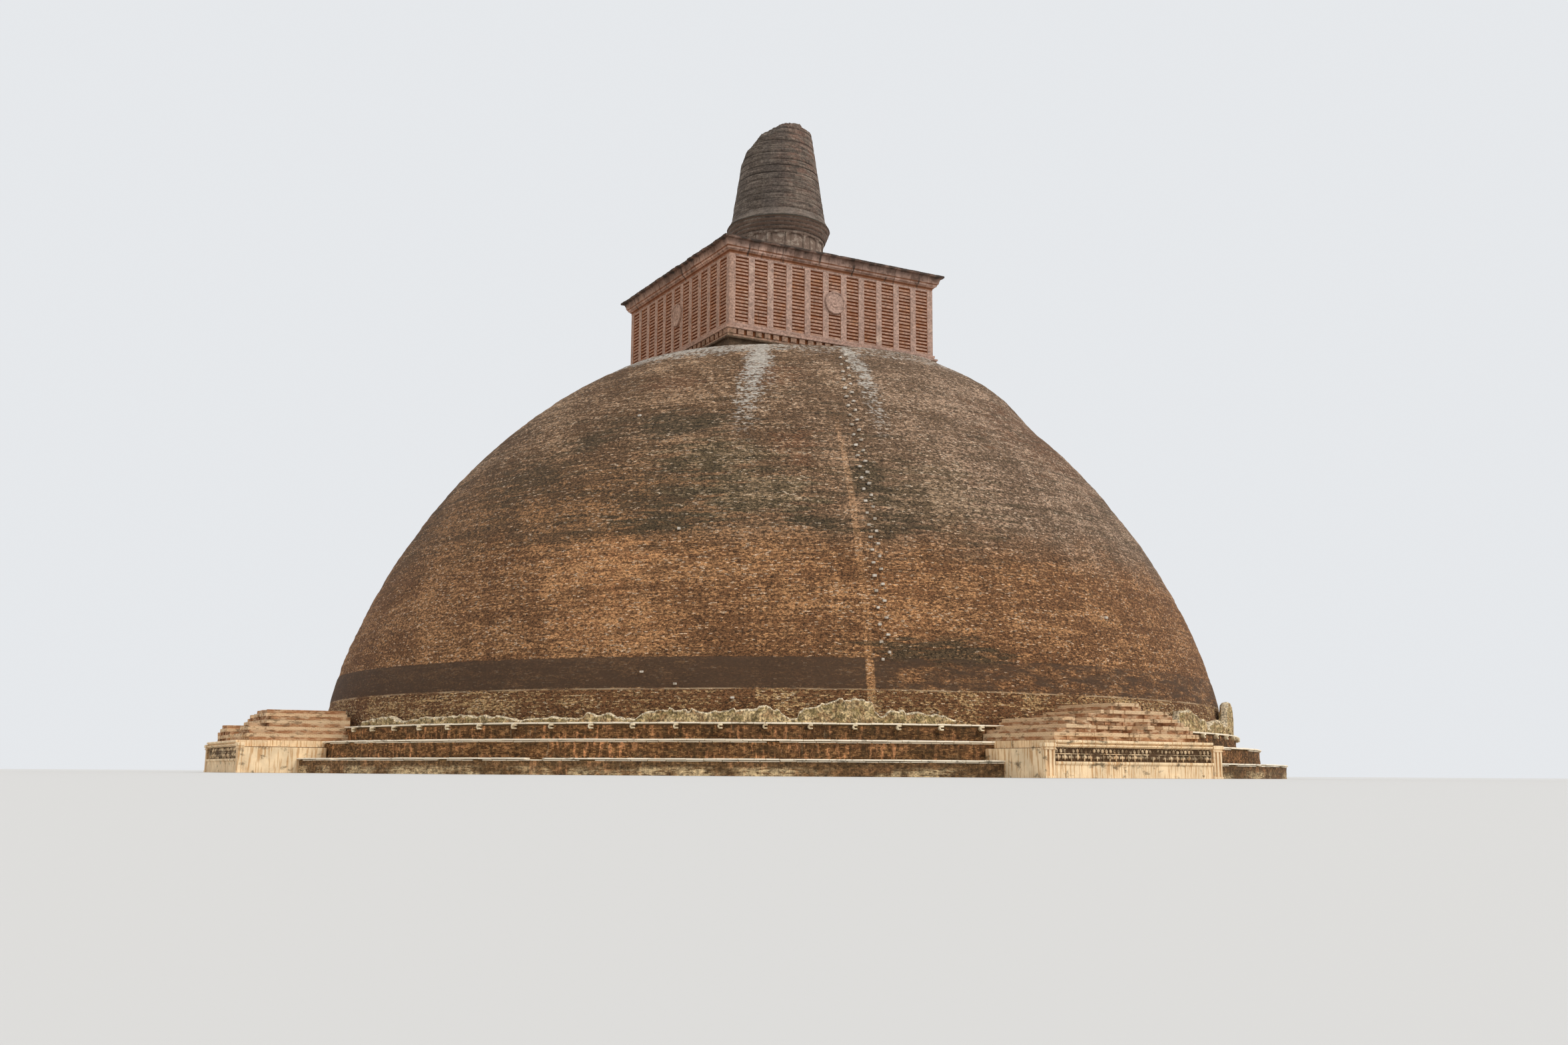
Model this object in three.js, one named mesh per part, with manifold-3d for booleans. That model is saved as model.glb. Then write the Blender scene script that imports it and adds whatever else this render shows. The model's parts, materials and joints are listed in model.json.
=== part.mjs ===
// A great brick stupa of the ancient dagoba kind, as a 1:10 scale model standing on level ground.
// Three round terraces carry a brick dome, the dome carries a square railed chamber, and a drum and
// a broken cone of ringed brickwork stand on the chamber. Four frontispieces face the four sides.
// The axis is +Z, the ground is z = 0, and the front frontispiece faces -Y.
import * as THREE from "three";
import { mergeVertices } from "three/addons/utils/BufferGeometryUtils.js";
import Module from "manifold-3d";

const wasm = await Module();
wasm.setup();

// Millimetres of model for one metre of the monument. All sizes below are the monument's, in metres.
const M = 100;
// The gap left at a joint that was cut to fit, in metres of the monument.
const JOINT = 0.003;

// Terraces, from the ground up: outer radius at the coping, and height of the upper face.
const LOWER = { radius: 53.25, top: 1.3 };
const MIDDLE = { radius: 50.8, top: 2.8 };
const UPPER = { radius: 48.6, top: 4.15 };
const COPING = { thick: 0.26, overhang: 0.14 };
const ROUND_SIDES = 80;

// Dome: (r / radius)^bulge + (h / rise)^shoulder = 1, cut level at the seat of the chamber.
const DOME = { radius: 47.2, rise: 43.5, bulge: 2.06, shoulder: 1.5, seatRadius: 18.7, rows: 12 };

// Ragged remains of the old lime coating's backing, round the foot of the dome: a low bank, and
// lumps on it as [from, to, height], with from and to in degrees from one frontispiece to the next.
const REMAINS = { inner: 47.24, outer: 48.25, bank: 0.28, slope: 0.45, step: 3 };
const LUMPS = [
  [12, 17, 0.75], [24, 34, 0.62], [38.6, 41.8, 0.45], [42.4, 45.2, 0.74], [48.2, 53.6, 0.92],
  [55.2, 61.6, 1.16], [63.2, 67.2, 1.35], [67.2, 70.6, 1.95], [71.2, 75.2, 1.0], [75.2, 78, 0.8],
];
// The one tall lump, right of the front frontispiece.
const TALL_LUMP = [36.5, 43.5, 3.2];

// Square chamber on the dome. Half widths are from the axis to the face.
const CHAMBER = {
  plinthHalf: 12.75,
  ledgeHalf: 13.1,
  toothHalf: 12.98,
  bandHalf: 12.86,
  railHalf: 12.45,
  backHalf: 12.25,
  frameHalf: 12.7,
  plinthHigh: 1.02,
  ledgeHigh: 0.2,
  toothHigh: 0.85,
  bandHigh: 0.6,
  panelHigh: 7.5,
};
const TEETH = { perSide: 25, width: 0.72, depth: 0.32 };
const PANELS = { count: 11, post: 0.8, topRail: 0.2, bottomRail: 0.12 };
const RAILS = { count: 20, high: 0.24 };
const MEDALLION = { radius: 1.2, thick: 0.2, rise: 4.3, sides: 24 };
const CORNICE = { stepHigh: 0.65, faceHigh: 0.7, lipHigh: 0.3, lipHalf: 13.75 };

// Drum with sunk panels, corbelled rings and the broken spire.
const DRUM = { radius: 5.12, postRadius: 5.25, footRadius: 5.45, footHigh: 0.35, high: 5.4, panels: 15, post: 0.36 };
// Bearing of one of the drum's posts, in degrees.
const DRUM_TURN = 5.7;
const CORBELS = { count: 5, high: 1.45, first: 5.36, last: 5.96 };
const SPIRE = { rim: 6.02, neck: 5.43, neckHigh: 1.2, taper: 0.151, sides: 40, courses: 5 };
// The break as the viewer sees it: its top, and its outline as [right of the axis, drop from the top].
// It falls off away from the middle, towards the viewer and behind, by depthFall times the depth squared.
const BREAK = {
  top: 75.0,
  outline: [
    [-4.8, 5.6], [-4.2, 4.8], [-3.7, 3.6], [-1.9, 1.25], [-0.9, 0.85], [0.9, 0], [2.3, 0.15], [2.8, 0.65],
    [3.75, 1.6], [4.4, 3.6],
  ],
  depthFall: 0.1,
  capRings: 6,
};
// Bearing of the viewer, from -Y towards -X, in degrees: the spire's slanted loss lies to the viewer's left.
const VIEW_BEARING = 28.8;

// Frontispieces, seen from in front: distance of the face from the axis, and half widths.
const FRONT = { face: 57.5, half: 7.9, plinthHigh: 1.22, friezeHigh: 1.12, corniceHigh: 0.47 };
const STELE = { centre: 8.4, width: 0.9, deep: 0.55, high: 2.3, capHigh: 0.28, capOut: 0.12 };

const COLOURS = {
  terraceBrick: 0x6e4632,
  domeBrick: 0x7d5f49,
  chamberBrick: 0xa8755f,
  stone: 0xcdb795,
  lime: 0xb9ad92,
  drum: 0x93806a,
  spireBrick: 0x6f5a4b,
};

const stupa = new THREE.Group();

function add(name, geometry, colour, roughness = 0.95) {
  const material = new THREE.MeshStandardMaterial({ color: colour, roughness, metalness: 0 });
  const mesh = new THREE.Mesh(geometry, material);
  mesh.name = name;
  stupa.add(mesh);
  return mesh;
}

// A closed geometry as a solid that can be joined and cut.
function solid(geometry) {
  const bare = geometry.clone();
  bare.deleteAttribute("normal");
  bare.deleteAttribute("uv");
  const merged = mergeVertices(bare, 1e-3);
  return new wasm.Manifold(
    new wasm.Mesh({
      numProp: 3,
      vertProperties: merged.attributes.position.array,
      triVerts: new Uint32Array(merged.index.array),
    }),
  );
}

function geometryOf(body) {
  const mesh = body.getMesh();
  const geometry = new THREE.BufferGeometry();
  geometry.setAttribute("position", new THREE.BufferAttribute(new Float32Array(mesh.vertProperties), 3));
  geometry.setIndex(new THREE.BufferAttribute(new Uint32Array(mesh.triVerts), 1));
  return geometry;
}

// A solid of revolution about +Z from a profile of [radius, height] in metres, axis to axis.
function turned(profile, sides = ROUND_SIDES) {
  const points = profile.map(([r, z]) => new THREE.Vector2(r * M, z * M));
  return new THREE.LatheGeometry(points, sides).rotateX(Math.PI / 2);
}

// A square tower of courses from a profile of [half width, height]: a turned solid of four sides.
function square(profile) {
  const points = profile.map(([half, z]) => new THREE.Vector2(half * Math.SQRT2 * M, z * M));
  return new THREE.LatheGeometry(points, 4, Math.PI / 4).rotateX(Math.PI / 2);
}

// A plan outline of [x, y] points raised from one height to another.
function raised(outline, from, to) {
  const shape = new THREE.Shape(outline.map(([x, y]) => new THREE.Vector2(x * M, y * M)));
  return new THREE.ExtrudeGeometry(shape, { depth: (to - from) * M, bevelEnabled: false, steps: 1 })
    .translate(0, 0, from * M);
}

// An outline of [x, z] in the front elevation, carried back from y = near to y = far.
function elevated(outline, near, far) {
  const shape = new THREE.Shape(outline.map(([x, z]) => new THREE.Vector2(x * M, z * M)));
  return new THREE.ExtrudeGeometry(shape, { depth: (far - near) * M, bevelEnabled: false, steps: 1 })
    .rotateX(Math.PI / 2)
    .translate(0, far * M, 0);
}

function box(x0, x1, y0, y1, z0, z1) {
  return new THREE.BoxGeometry((x1 - x0) * M, (y1 - y0) * M, (z1 - z0) * M)
    .translate(((x0 + x1) / 2) * M, ((y0 + y1) / 2) * M, ((z0 + z1) / 2) * M);
}

// Terraces

function terraceProfile(ring, foot, grow = 0) {
  const face = ring.radius - COPING.overhang + grow;
  const edge = ring.radius + grow;
  const under = ring.top - COPING.thick - (grow > 0 ? JOINT : 0);
  const top = ring.top + grow;
  return [[0, foot], [face, foot], [face, under], [edge, under], [edge, top], [0, top]];
}

function addTerraces() {
  add("lower_terrace", turned(terraceProfile(LOWER, 0)), COLOURS.terraceBrick);
  add("middle_terrace", turned(terraceProfile(MIDDLE, LOWER.top)), COLOURS.terraceBrick);
  add("upper_terrace", turned(terraceProfile(UPPER, MIDDLE.top)), COLOURS.terraceBrick);
}

// Dome

function domeHeight(r) {
  const share = 1 - Math.pow(r / DOME.radius, DOME.bulge);
  return UPPER.top + DOME.rise * Math.pow(share, 1 / DOME.shoulder);
}

const SEAT = domeHeight(DOME.seatRadius);

function domeProfile(grow = 0) {
  const profile = [[0, UPPER.top]];
  const last = Math.acos(Math.pow(DOME.seatRadius / DOME.radius, DOME.bulge / 2));
  for (let i = 0; i <= DOME.rows; i += 1) {
    const turn = (last * i) / DOME.rows;
    const r = DOME.radius * Math.pow(Math.cos(turn), 2 / DOME.bulge);
    const z = UPPER.top + DOME.rise * Math.pow(Math.sin(turn), 2 / DOME.shoulder);
    profile.push([r + grow, z]);
  }
  profile.push([0, profile[profile.length - 1][1]]);
  return profile;
}

function addDome() {
  add("dome", turned(domeProfile()), COLOURS.domeBrick);
}

// Remains round the dome's foot

// Height of the ragged top above the terrace, the highest of the bank and the lumps.
function remainsHeight(degrees, lumps) {
  const over = lumps.map(([from, to, high]) => {
    const inside = Math.min(degrees - from, to - degrees) / REMAINS.slope;
    return REMAINS.bank + (high - REMAINS.bank) * THREE.MathUtils.clamp(inside, 0, 1);
  });
  return Math.max(...over);
}

// One run of remains between two frontispieces, with a section every few degrees and at each lump's
// ends and brows.
function remainsGeometry(turn, reach, lumps) {
  const ends = [reach, 90 - reach];
  const even = Array.from({ length: 90 / REMAINS.step }, (_, i) => i * REMAINS.step);
  const brows = lumps.flatMap(([from, to]) => [from, from + REMAINS.slope, to - REMAINS.slope, to]);
  const stations = [...new Set([...ends, ...even, ...brows])].filter((d) => d >= ends[0] && d <= ends[1]);
  stations.sort((one, other) => one - other);
  const positions = [];
  const index = [];
  const corners = 4;
  for (const degrees of stations) {
    const bearing = turn + THREE.MathUtils.degToRad(degrees);
    const high = UPPER.top + remainsHeight(degrees, lumps);
    const section = [
      [REMAINS.outer, UPPER.top],
      [REMAINS.outer - 0.12, high - 0.1],
      [REMAINS.inner + 0.3, high],
      [REMAINS.inner, UPPER.top],
    ];
    for (const [r, z] of section) {
      positions.push(r * Math.sin(bearing) * M, -r * Math.cos(bearing) * M, z * M);
    }
  }
  for (let i = 0; i < stations.length - 1; i += 1) {
    for (let k = 0; k < corners; k += 1) {
      const a = i * corners + k;
      const b = i * corners + ((k + 1) % corners);
      index.push(a, a + corners, b, b, a + corners, b + corners);
    }
  }
  const end = (stations.length - 1) * corners;
  index.push(0, 1, 2, 0, 2, 3);
  index.push(end, end + 2, end + 1, end, end + 3, end + 2);
  const geometry = new THREE.BufferGeometry();
  geometry.setAttribute("position", new THREE.Float32BufferAttribute(positions, 3));
  geometry.setIndex(index);
  return geometry;
}

// Chamber

const LEVELS = {
  ledge: SEAT + CHAMBER.plinthHigh,
  teeth: SEAT + CHAMBER.plinthHigh + CHAMBER.ledgeHigh,
};
LEVELS.band = LEVELS.teeth + CHAMBER.toothHigh;
LEVELS.panels = LEVELS.band + CHAMBER.bandHigh;
LEVELS.cornice = LEVELS.panels + CHAMBER.panelHigh;
LEVELS.slab = LEVELS.cornice + CORNICE.stepHigh;
LEVELS.roof = LEVELS.slab + CORNICE.faceHigh + CORNICE.lipHigh;

// The course of square teeth, as one plan outline that steps in between each two teeth.
function toothOutline() {
  const half = CHAMBER.toothHalf;
  const pitch = (2 * half) / TEETH.perSide;
  const inset = half - TEETH.depth;
  const side = [];
  for (let i = 0; i < TEETH.perSide - 1; i += 1) {
    const middle = -half + pitch * (i + 1);
    const gap = (pitch - TEETH.width) / 2;
    side.push([middle - gap, -half], [middle - gap, -inset], [middle + gap, -inset], [middle + gap, -half]);
  }
  const outline = [];
  for (let quarter = 0; quarter < 4; quarter += 1) {
    const c = Math.round(Math.cos((quarter * Math.PI) / 2));
    const s = Math.round(Math.sin((quarter * Math.PI) / 2));
    for (const [x, y] of [[-half, -half], ...side]) outline.push([x * c - y * s, x * s + y * c]);
  }
  return outline;
}

// The railed core: a square tower whose faces are a ladder of flat rails and narrow sunk lines.
function coreProfile() {
  const pitch = CHAMBER.panelHigh / RAILS.count;
  const profile = [[0, LEVELS.panels]];
  for (let i = 0; i < RAILS.count; i += 1) {
    const foot = LEVELS.panels + pitch * i;
    profile.push([CHAMBER.backHalf, foot]);
    profile.push([CHAMBER.backHalf, foot + pitch - RAILS.high]);
    profile.push([CHAMBER.railHalf, foot + pitch - RAILS.high]);
    profile.push([CHAMBER.railHalf, foot + pitch]);
  }
  profile.push([0, LEVELS.cornice]);
  return profile;
}

// The upright posts of one face, joined at head and foot by a plain rail: a plate with the panels cut out.
function panelFrame(half) {
  const near = -CHAMBER.frameHalf;
  const far = -(CHAMBER.railHalf + JOINT);
  const pitch = (2 * CHAMBER.frameHalf - PANELS.post) / PANELS.count;
  let plate = solid(box(-half, half, near, far, LEVELS.panels, LEVELS.cornice));
  for (let i = 0; i < PANELS.count; i += 1) {
    const left = -CHAMBER.frameHalf + PANELS.post + pitch * i;
    const right = left + pitch - PANELS.post;
    const foot = LEVELS.panels + PANELS.bottomRail;
    const head = LEVELS.cornice - PANELS.topRail;
    plate = plate.subtract(solid(box(left, right, near - 1, far + 1, foot, head)));
  }
  return geometryOf(plate);
}

// A round plaque with a raised rim and a boss, its back on the posts.
function medallionGeometry() {
  const { radius, thick, sides } = MEDALLION;
  const rim = radius * 0.16;
  const boss = radius * 0.26;
  const sunk = thick * 0.55;
  const profile = [
    [0, 0],
    [radius, 0],
    [radius, thick],
    [radius - rim, thick],
    [radius - rim, sunk],
    [boss, sunk],
    [boss * 0.7, thick * 0.95],
    [0, thick],
  ];
  return turned(profile, sides)
    .rotateX(Math.PI / 2)
    .translate(0, -(CHAMBER.frameHalf + JOINT) * M, (LEVELS.panels + MEDALLION.rise) * M);
}

function addChamber() {
  const plinth = [
    [0, SEAT],
    [CHAMBER.plinthHalf, SEAT],
    [CHAMBER.plinthHalf, LEVELS.ledge],
    [CHAMBER.ledgeHalf, LEVELS.ledge],
    [CHAMBER.ledgeHalf, LEVELS.teeth],
    [0, LEVELS.teeth],
  ];
  const band = [
    [0, LEVELS.band],
    [CHAMBER.ledgeHalf, LEVELS.band],
    [CHAMBER.ledgeHalf, LEVELS.band + CHAMBER.bandHigh * 0.35],
    [CHAMBER.bandHalf, LEVELS.band + CHAMBER.bandHigh * 0.35],
    [CHAMBER.bandHalf, LEVELS.panels],
    [0, LEVELS.panels],
  ];
  const step = [
    [0, LEVELS.cornice],
    [CHAMBER.frameHalf, LEVELS.cornice],
    [CHAMBER.frameHalf, LEVELS.cornice + CORNICE.stepHigh * 0.35],
    [CHAMBER.bandHalf, LEVELS.cornice + CORNICE.stepHigh * 0.55],
    [CHAMBER.ledgeHalf, LEVELS.slab],
    [0, LEVELS.slab],
  ];
  const slab = [
    [0, LEVELS.slab],
    [CHAMBER.ledgeHalf + 0.08, LEVELS.slab],
    [CORNICE.lipHalf - 0.33, LEVELS.slab + CORNICE.faceHigh],
    [CORNICE.lipHalf, LEVELS.slab + CORNICE.faceHigh + 0.1],
    [CORNICE.lipHalf, LEVELS.roof],
    [0, LEVELS.roof],
  ];
  add("chamber_plinth", square(plinth), COLOURS.chamberBrick);
  add("chamber_tooth_course", raised(toothOutline(), LEVELS.teeth, LEVELS.band), COLOURS.chamberBrick);
  add("chamber_lower_band", square(band), COLOURS.chamberBrick);
  add("chamber_railed_core", square(coreProfile()), COLOURS.chamberBrick);
  add("chamber_cornice_step", square(step), COLOURS.chamberBrick);
  add("chamber_cornice_slab", square(slab), COLOURS.chamberBrick);
}

// Drum, corbels and spire

function drumOutline() {
  const outline = [];
  const postTurn = DRUM.post / DRUM.radius / 2;
  const first = THREE.MathUtils.degToRad(DRUM_TURN);
  const at = (r, turn) => [r * Math.sin(turn), -r * Math.cos(turn)];
  for (let i = 0; i < DRUM.panels; i += 1) {
    const post = first + (2 * Math.PI * i) / DRUM.panels;
    const next = first + (2 * Math.PI * (i + 1)) / DRUM.panels;
    outline.push(at(DRUM.postRadius, post - postTurn), at(DRUM.postRadius, post + postTurn));
    for (const share of [0, 0.5, 1]) {
      const turn = post + postTurn + (next - post - 2 * postTurn) * share;
      outline.push(at(DRUM.radius, turn));
    }
  }
  return outline;
}

const CORBEL_FOOT = LEVELS.roof + DRUM.high;
const SPIRE_FOOT = CORBEL_FOOT + CORBELS.high;

function addDrum() {
  const foot = LEVELS.roof + DRUM.footHigh;
  const head = CORBEL_FOOT - DRUM.footHigh;
  const body = solid(raised(drumOutline(), foot, head));
  const rings = [[LEVELS.roof, foot], [head, CORBEL_FOOT]].map(([z0, z1]) =>
    solid(turned([[0, z0], [DRUM.footRadius, z0], [DRUM.footRadius, z1], [0, z1]], SPIRE.sides)),
  );
  add("drum", geometryOf(body.add(rings[0]).add(rings[1])), COLOURS.drum);
}

function addCorbels() {
  const profile = [[0, CORBEL_FOOT]];
  const high = CORBELS.high / CORBELS.count;
  for (let i = 0; i < CORBELS.count; i += 1) {
    const share = i / (CORBELS.count - 1);
    const r = CORBELS.first + (CORBELS.last - CORBELS.first) * share;
    profile.push([r, CORBEL_FOOT + high * i], [r + 0.05, CORBEL_FOOT + high * (i + 1)]);
  }
  profile.push([0, SPIRE_FOOT]);
  add("spire_corbels", turned(profile, SPIRE.sides), COLOURS.drum);
}

// The value of a line of [place, value] points at one place, level beyond its ends.
function valueAt(line, place) {
  const next = line.findIndex(([at]) => at > place);
  if (next < 0) return line[line.length - 1][1];
  if (next === 0) return line[0][1];
  const [[x0, y0], [x1, y1]] = [line[next - 1], line[next]];
  return y0 + ((y1 - y0) * (place - x0)) / (x1 - x0);
}

// Height of the broken top over a point of the plan.
function breakHeight(x, y) {
  const bearing = THREE.MathUtils.degToRad(VIEW_BEARING);
  const right = x * Math.cos(bearing) - y * Math.sin(bearing);
  const deep = x * Math.sin(bearing) + y * Math.cos(bearing);
  const rough = 0.1 * Math.sin(2.9 * x + 1.3) * Math.cos(3.7 * y);
  return BREAK.top - valueAt(BREAK.outline, right) - BREAK.depthFall * deep * deep + rough;
}

// The cone's radius at a height: it flares to a rim at its foot.
function spireRadius(z) {
  const neckTop = SPIRE_FOOT + SPIRE.neckHigh;
  if (z >= neckTop) return SPIRE.neck - SPIRE.taper * (z - neckTop);
  const share = (neckTop - z) / SPIRE.neckHigh;
  return SPIRE.neck + (SPIRE.rim - SPIRE.neck) * Math.pow(share, 1.3);
}

// Height at which the cone's side meets the break, at one bearing.
function rimHeight(bearing) {
  let low = SPIRE_FOOT + SPIRE.neckHigh;
  let high = BREAK.top;
  for (let i = 0; i < 40; i += 1) {
    const z = (low + high) / 2;
    const r = spireRadius(z);
    if (breakHeight(r * Math.sin(bearing), -r * Math.cos(bearing)) > z) low = z;
    else high = z;
  }
  return low;
}

function spireGeometry() {
  const rows = [];
  const turns = Array.from({ length: SPIRE.sides }, (_, i) => (2 * Math.PI * i) / SPIRE.sides);
  const rims = turns.map(rimHeight);
  const sideRow = (heights) =>
    turns.map((turn, i) => {
      const r = spireRadius(heights[i]);
      return [r * Math.sin(turn), -r * Math.cos(turn), heights[i]];
    });
  for (const share of [0, 0.35, 0.7, 1]) rows.push(sideRow(turns.map(() => SPIRE_FOOT + SPIRE.neckHigh * share)));
  const neckTop = SPIRE_FOOT + SPIRE.neckHigh;
  for (let k = 1; k <= SPIRE.courses; k += 1) {
    rows.push(sideRow(rims.map((rim) => neckTop + ((rim - neckTop) * k) / SPIRE.courses)));
  }
  for (let k = BREAK.capRings - 1; k >= 1; k -= 1) {
    const share = k / BREAK.capRings;
    rows.push(
      turns.map((turn, i) => {
        const r = spireRadius(rims[i]) * share;
        const x = r * Math.sin(turn);
        const y = -r * Math.cos(turn);
        return [x, y, breakHeight(x, y)];
      }),
    );
  }
  const positions = rows.flat(2).concat([0, 0, SPIRE_FOOT, 0, 0, breakHeight(0, 0)]).map((v) => v * M);
  const n = SPIRE.sides;
  const bottom = rows.length * n;
  const index = [];
  for (let i = 0; i < n; i += 1) {
    const j = (i + 1) % n;
    index.push(bottom, j, i);
    for (let row = 0; row < rows.length - 1; row += 1) {
      const a = row * n;
      const b = a + n;
      index.push(a + i, a + j, b + i, a + j, b + j, b + i);
    }
    const last = (rows.length - 1) * n;
    index.push(bottom + 1, last + i, last + j);
  }
  const geometry = new THREE.BufferGeometry();
  geometry.setAttribute("position", new THREE.Float32BufferAttribute(positions, 3));
  geometry.setIndex(index);
  return geometry;
}

// Frontispieces

// The terraces and the dome a joint's width larger, to cut a frontispiece to their faces.
const neighbours = [
  turned(terraceProfile(LOWER, -1, JOINT)),
  turned(terraceProfile(MIDDLE, -1, JOINT)),
  turned(terraceProfile(UPPER, -1, JOINT)),
  turned(domeProfile(JOINT)),
].map(solid);

function fitted(geometries) {
  let body = solid(geometries[0]);
  for (const geometry of geometries.slice(1)) body = body.add(solid(geometry));
  for (const neighbour of neighbours) body = body.subtract(neighbour);
  const pieces = body.decompose();
  pieces.sort((a, b) => b.volume() - a.volume());
  return geometryOf(pieces[0]);
}

const INWARD = -47.0;

function frontPlinth() {
  const { face, half, plinthHigh } = FRONT;
  return fitted([
    box(-half, half, -face, INWARD, 0, plinthHigh - 0.22),
    box(-half, half, -face - 0.12, INWARD, plinthHigh - 0.22, plinthHigh),
  ]);
}

// Frieze and moulded cornice in one course of masonry, each band set out or in from the face.
function frontMouldings() {
  const { face, half, plinthHigh, friezeHigh, corniceHigh } = FRONT;
  const frieze = plinthHigh + friezeHigh;
  const top = frieze + corniceHigh;
  const bands = [
    [-0.3, plinthHigh, frieze - 0.15],
    [-0.1, frieze - 0.15, frieze],
    [0.08, frieze, frieze + 0.17],
    [-0.12, frieze + 0.17, frieze + 0.3],
    [0.12, frieze + 0.3, top],
  ];
  return fitted(
    bands.map(([out, z0, z1]) => box(-half, half, -face - out, INWARD, z0, z1)),
  );
}

// Brick core above the cornice, in two ragged layers, the rear one higher.
function frontTower() {
  const { face, plinthHigh, friezeHigh, corniceHigh } = FRONT;
  const foot = plinthHigh + friezeHigh + corniceHigh;
  const fore = [
    [-7.4, foot], [7.6, foot], [7.5, foot + 0.9], [6.6, foot + 1.0], [6.2, foot + 1.5], [2.4, foot + 1.3],
    [0.8, foot + 0.7], [-2.6, foot + 0.9], [-4.2, foot + 1.5], [-5.9, foot + 1.6], [-6.4, foot + 1.1],
    [-7.3, foot + 0.9],
  ];
  const rear = [
    [-5.6, foot], [6.8, foot], [6.6, foot + 2.1], [5.4, foot + 2.4], [4.9, foot + 2.8], [3.1, foot + 3.0],
    [1.6, foot + 3.15], [0.4, foot + 3.1], [-0.3, foot + 2.5], [-2.2, foot + 2.3], [-3.1, foot + 1.9],
    [-5.2, foot + 1.8],
  ];
  return fitted([
    elevated(fore, -face + 0.75, -face + 2.6),
    elevated(rear, -face + 2.5, INWARD),
  ]);
}

function stele(side) {
  const { centre, width, deep, high, capHigh, capOut } = STELE;
  const x = side * centre;
  const y = -FRONT.face;
  const body = solid(box(x - width / 2, x + width / 2, y, y + deep, 0, high));
  const mirrored = (inner, outer) => (side > 0 ? [inner, outer] : [-outer, -inner]);
  const inner = FRONT.half + JOINT;
  const [c0, c1] = mirrored(Math.max(centre - width / 2 - capOut, inner), centre + width / 2 + capOut);
  const cap = solid(box(c0, c1, y - capOut, y + deep, high - 0.02, high + capHigh));
  const [x0, x1] = mirrored(inner, centre + width / 2 - 0.12);
  const wing = solid(box(x0, x1, y + deep - 0.02, INWARD, 0, high - 0.1));
  let whole = body.add(cap).add(wing);
  for (const neighbour of neighbours) whole = whole.subtract(neighbour);
  return geometryOf(whole.decompose().sort((a, b) => b.volume() - a.volume())[0]);
}

// The four sides, by the quarter turns from the front.
const SIDES = ["front", "right", "back", "left"];

function addSides() {
  const shared = {
    frontispiece_plinth: frontPlinth(),
    frontispiece_mouldings: frontMouldings(),
    frontispiece_tower: frontTower(),
    stele_left: stele(-1),
    stele_right: stele(1),
  };
  const reach = THREE.MathUtils.radToDeg((FRONT.half + STELE.width + 0.6) / REMAINS.outer);
  const reversed = LUMPS.map(([from, to, high]) => [90 - to, 90 - from, high]);
  const lumps = { front: [...reversed, TALL_LUMP], right: LUMPS, back: reversed, left: LUMPS };
  SIDES.forEach((side, quarter) => {
    const turn = (quarter * Math.PI) / 2;
    for (const [name, geometry] of Object.entries(shared)) {
      const colour = name === "frontispiece_tower" ? COLOURS.terraceBrick : COLOURS.stone;
      add(side + "_" + name, geometry, colour).rotation.z = turn;
    }
    const half = quarter % 2 ? CHAMBER.railHalf : CHAMBER.frameHalf;
    add("chamber_" + side + "_posts", panelFrame(half), COLOURS.chamberBrick).rotation.z = turn;
    add("chamber_" + side + "_medallion", medallionGeometry(), COLOURS.chamberBrick).rotation.z = turn;
    add(side + "_old_masonry", remainsGeometry(turn, reach, lumps[side]), COLOURS.lime);
  });
}

addTerraces();
addDome();
addChamber();
addDrum();
addCorbels();
add("spire", spireGeometry(), COLOURS.spireBrick);
addSides();

export default stupa;
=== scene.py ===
"""A great brick stupa as a 1:10 scale model, dressed for rendering.

Every size is worked out in metres of the monument and put into the mesh times M. Bearings run
from -Y, the front, towards +X, the right. Each piece is a surface worked out on a grid of two
parameters, or a section carried along a path.
"""

import json
import math
from functools import partialmethod

import bpy
import numpy as np
from bpy.props import FloatProperty, FloatVectorProperty, IntProperty, PointerProperty
from mathutils import Matrix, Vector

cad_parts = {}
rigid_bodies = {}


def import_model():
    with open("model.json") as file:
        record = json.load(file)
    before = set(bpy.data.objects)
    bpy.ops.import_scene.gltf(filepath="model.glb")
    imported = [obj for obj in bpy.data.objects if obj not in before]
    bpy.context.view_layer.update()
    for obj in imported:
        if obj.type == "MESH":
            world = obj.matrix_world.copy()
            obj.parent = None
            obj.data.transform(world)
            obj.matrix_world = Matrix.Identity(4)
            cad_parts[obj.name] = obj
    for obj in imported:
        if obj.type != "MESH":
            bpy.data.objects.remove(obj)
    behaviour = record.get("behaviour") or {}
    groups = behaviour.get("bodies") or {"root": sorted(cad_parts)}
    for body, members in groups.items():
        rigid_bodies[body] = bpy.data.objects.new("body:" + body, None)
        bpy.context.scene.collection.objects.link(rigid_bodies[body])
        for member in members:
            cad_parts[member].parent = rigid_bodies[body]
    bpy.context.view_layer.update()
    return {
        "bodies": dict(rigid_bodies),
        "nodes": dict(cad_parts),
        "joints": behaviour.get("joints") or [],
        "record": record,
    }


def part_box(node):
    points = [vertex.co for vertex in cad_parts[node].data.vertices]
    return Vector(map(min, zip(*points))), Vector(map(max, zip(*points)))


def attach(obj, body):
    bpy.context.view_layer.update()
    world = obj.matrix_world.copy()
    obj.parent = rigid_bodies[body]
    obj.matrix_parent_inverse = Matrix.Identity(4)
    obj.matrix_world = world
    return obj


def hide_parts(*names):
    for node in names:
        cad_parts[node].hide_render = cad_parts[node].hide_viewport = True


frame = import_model()

bl_info = {
    "name": "Great Brick Stupa",
    "version": (1, 0, 0),
    "blender": (4, 5, 0),
    "location": "View3D > Sidebar > Stupa",
    "description": "Brick dome, terraces, railed chamber and broken spire of an old stupa",
    "category": "Add Mesh",
}

# Model metres for one metre of the monument.
M = 0.1

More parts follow.
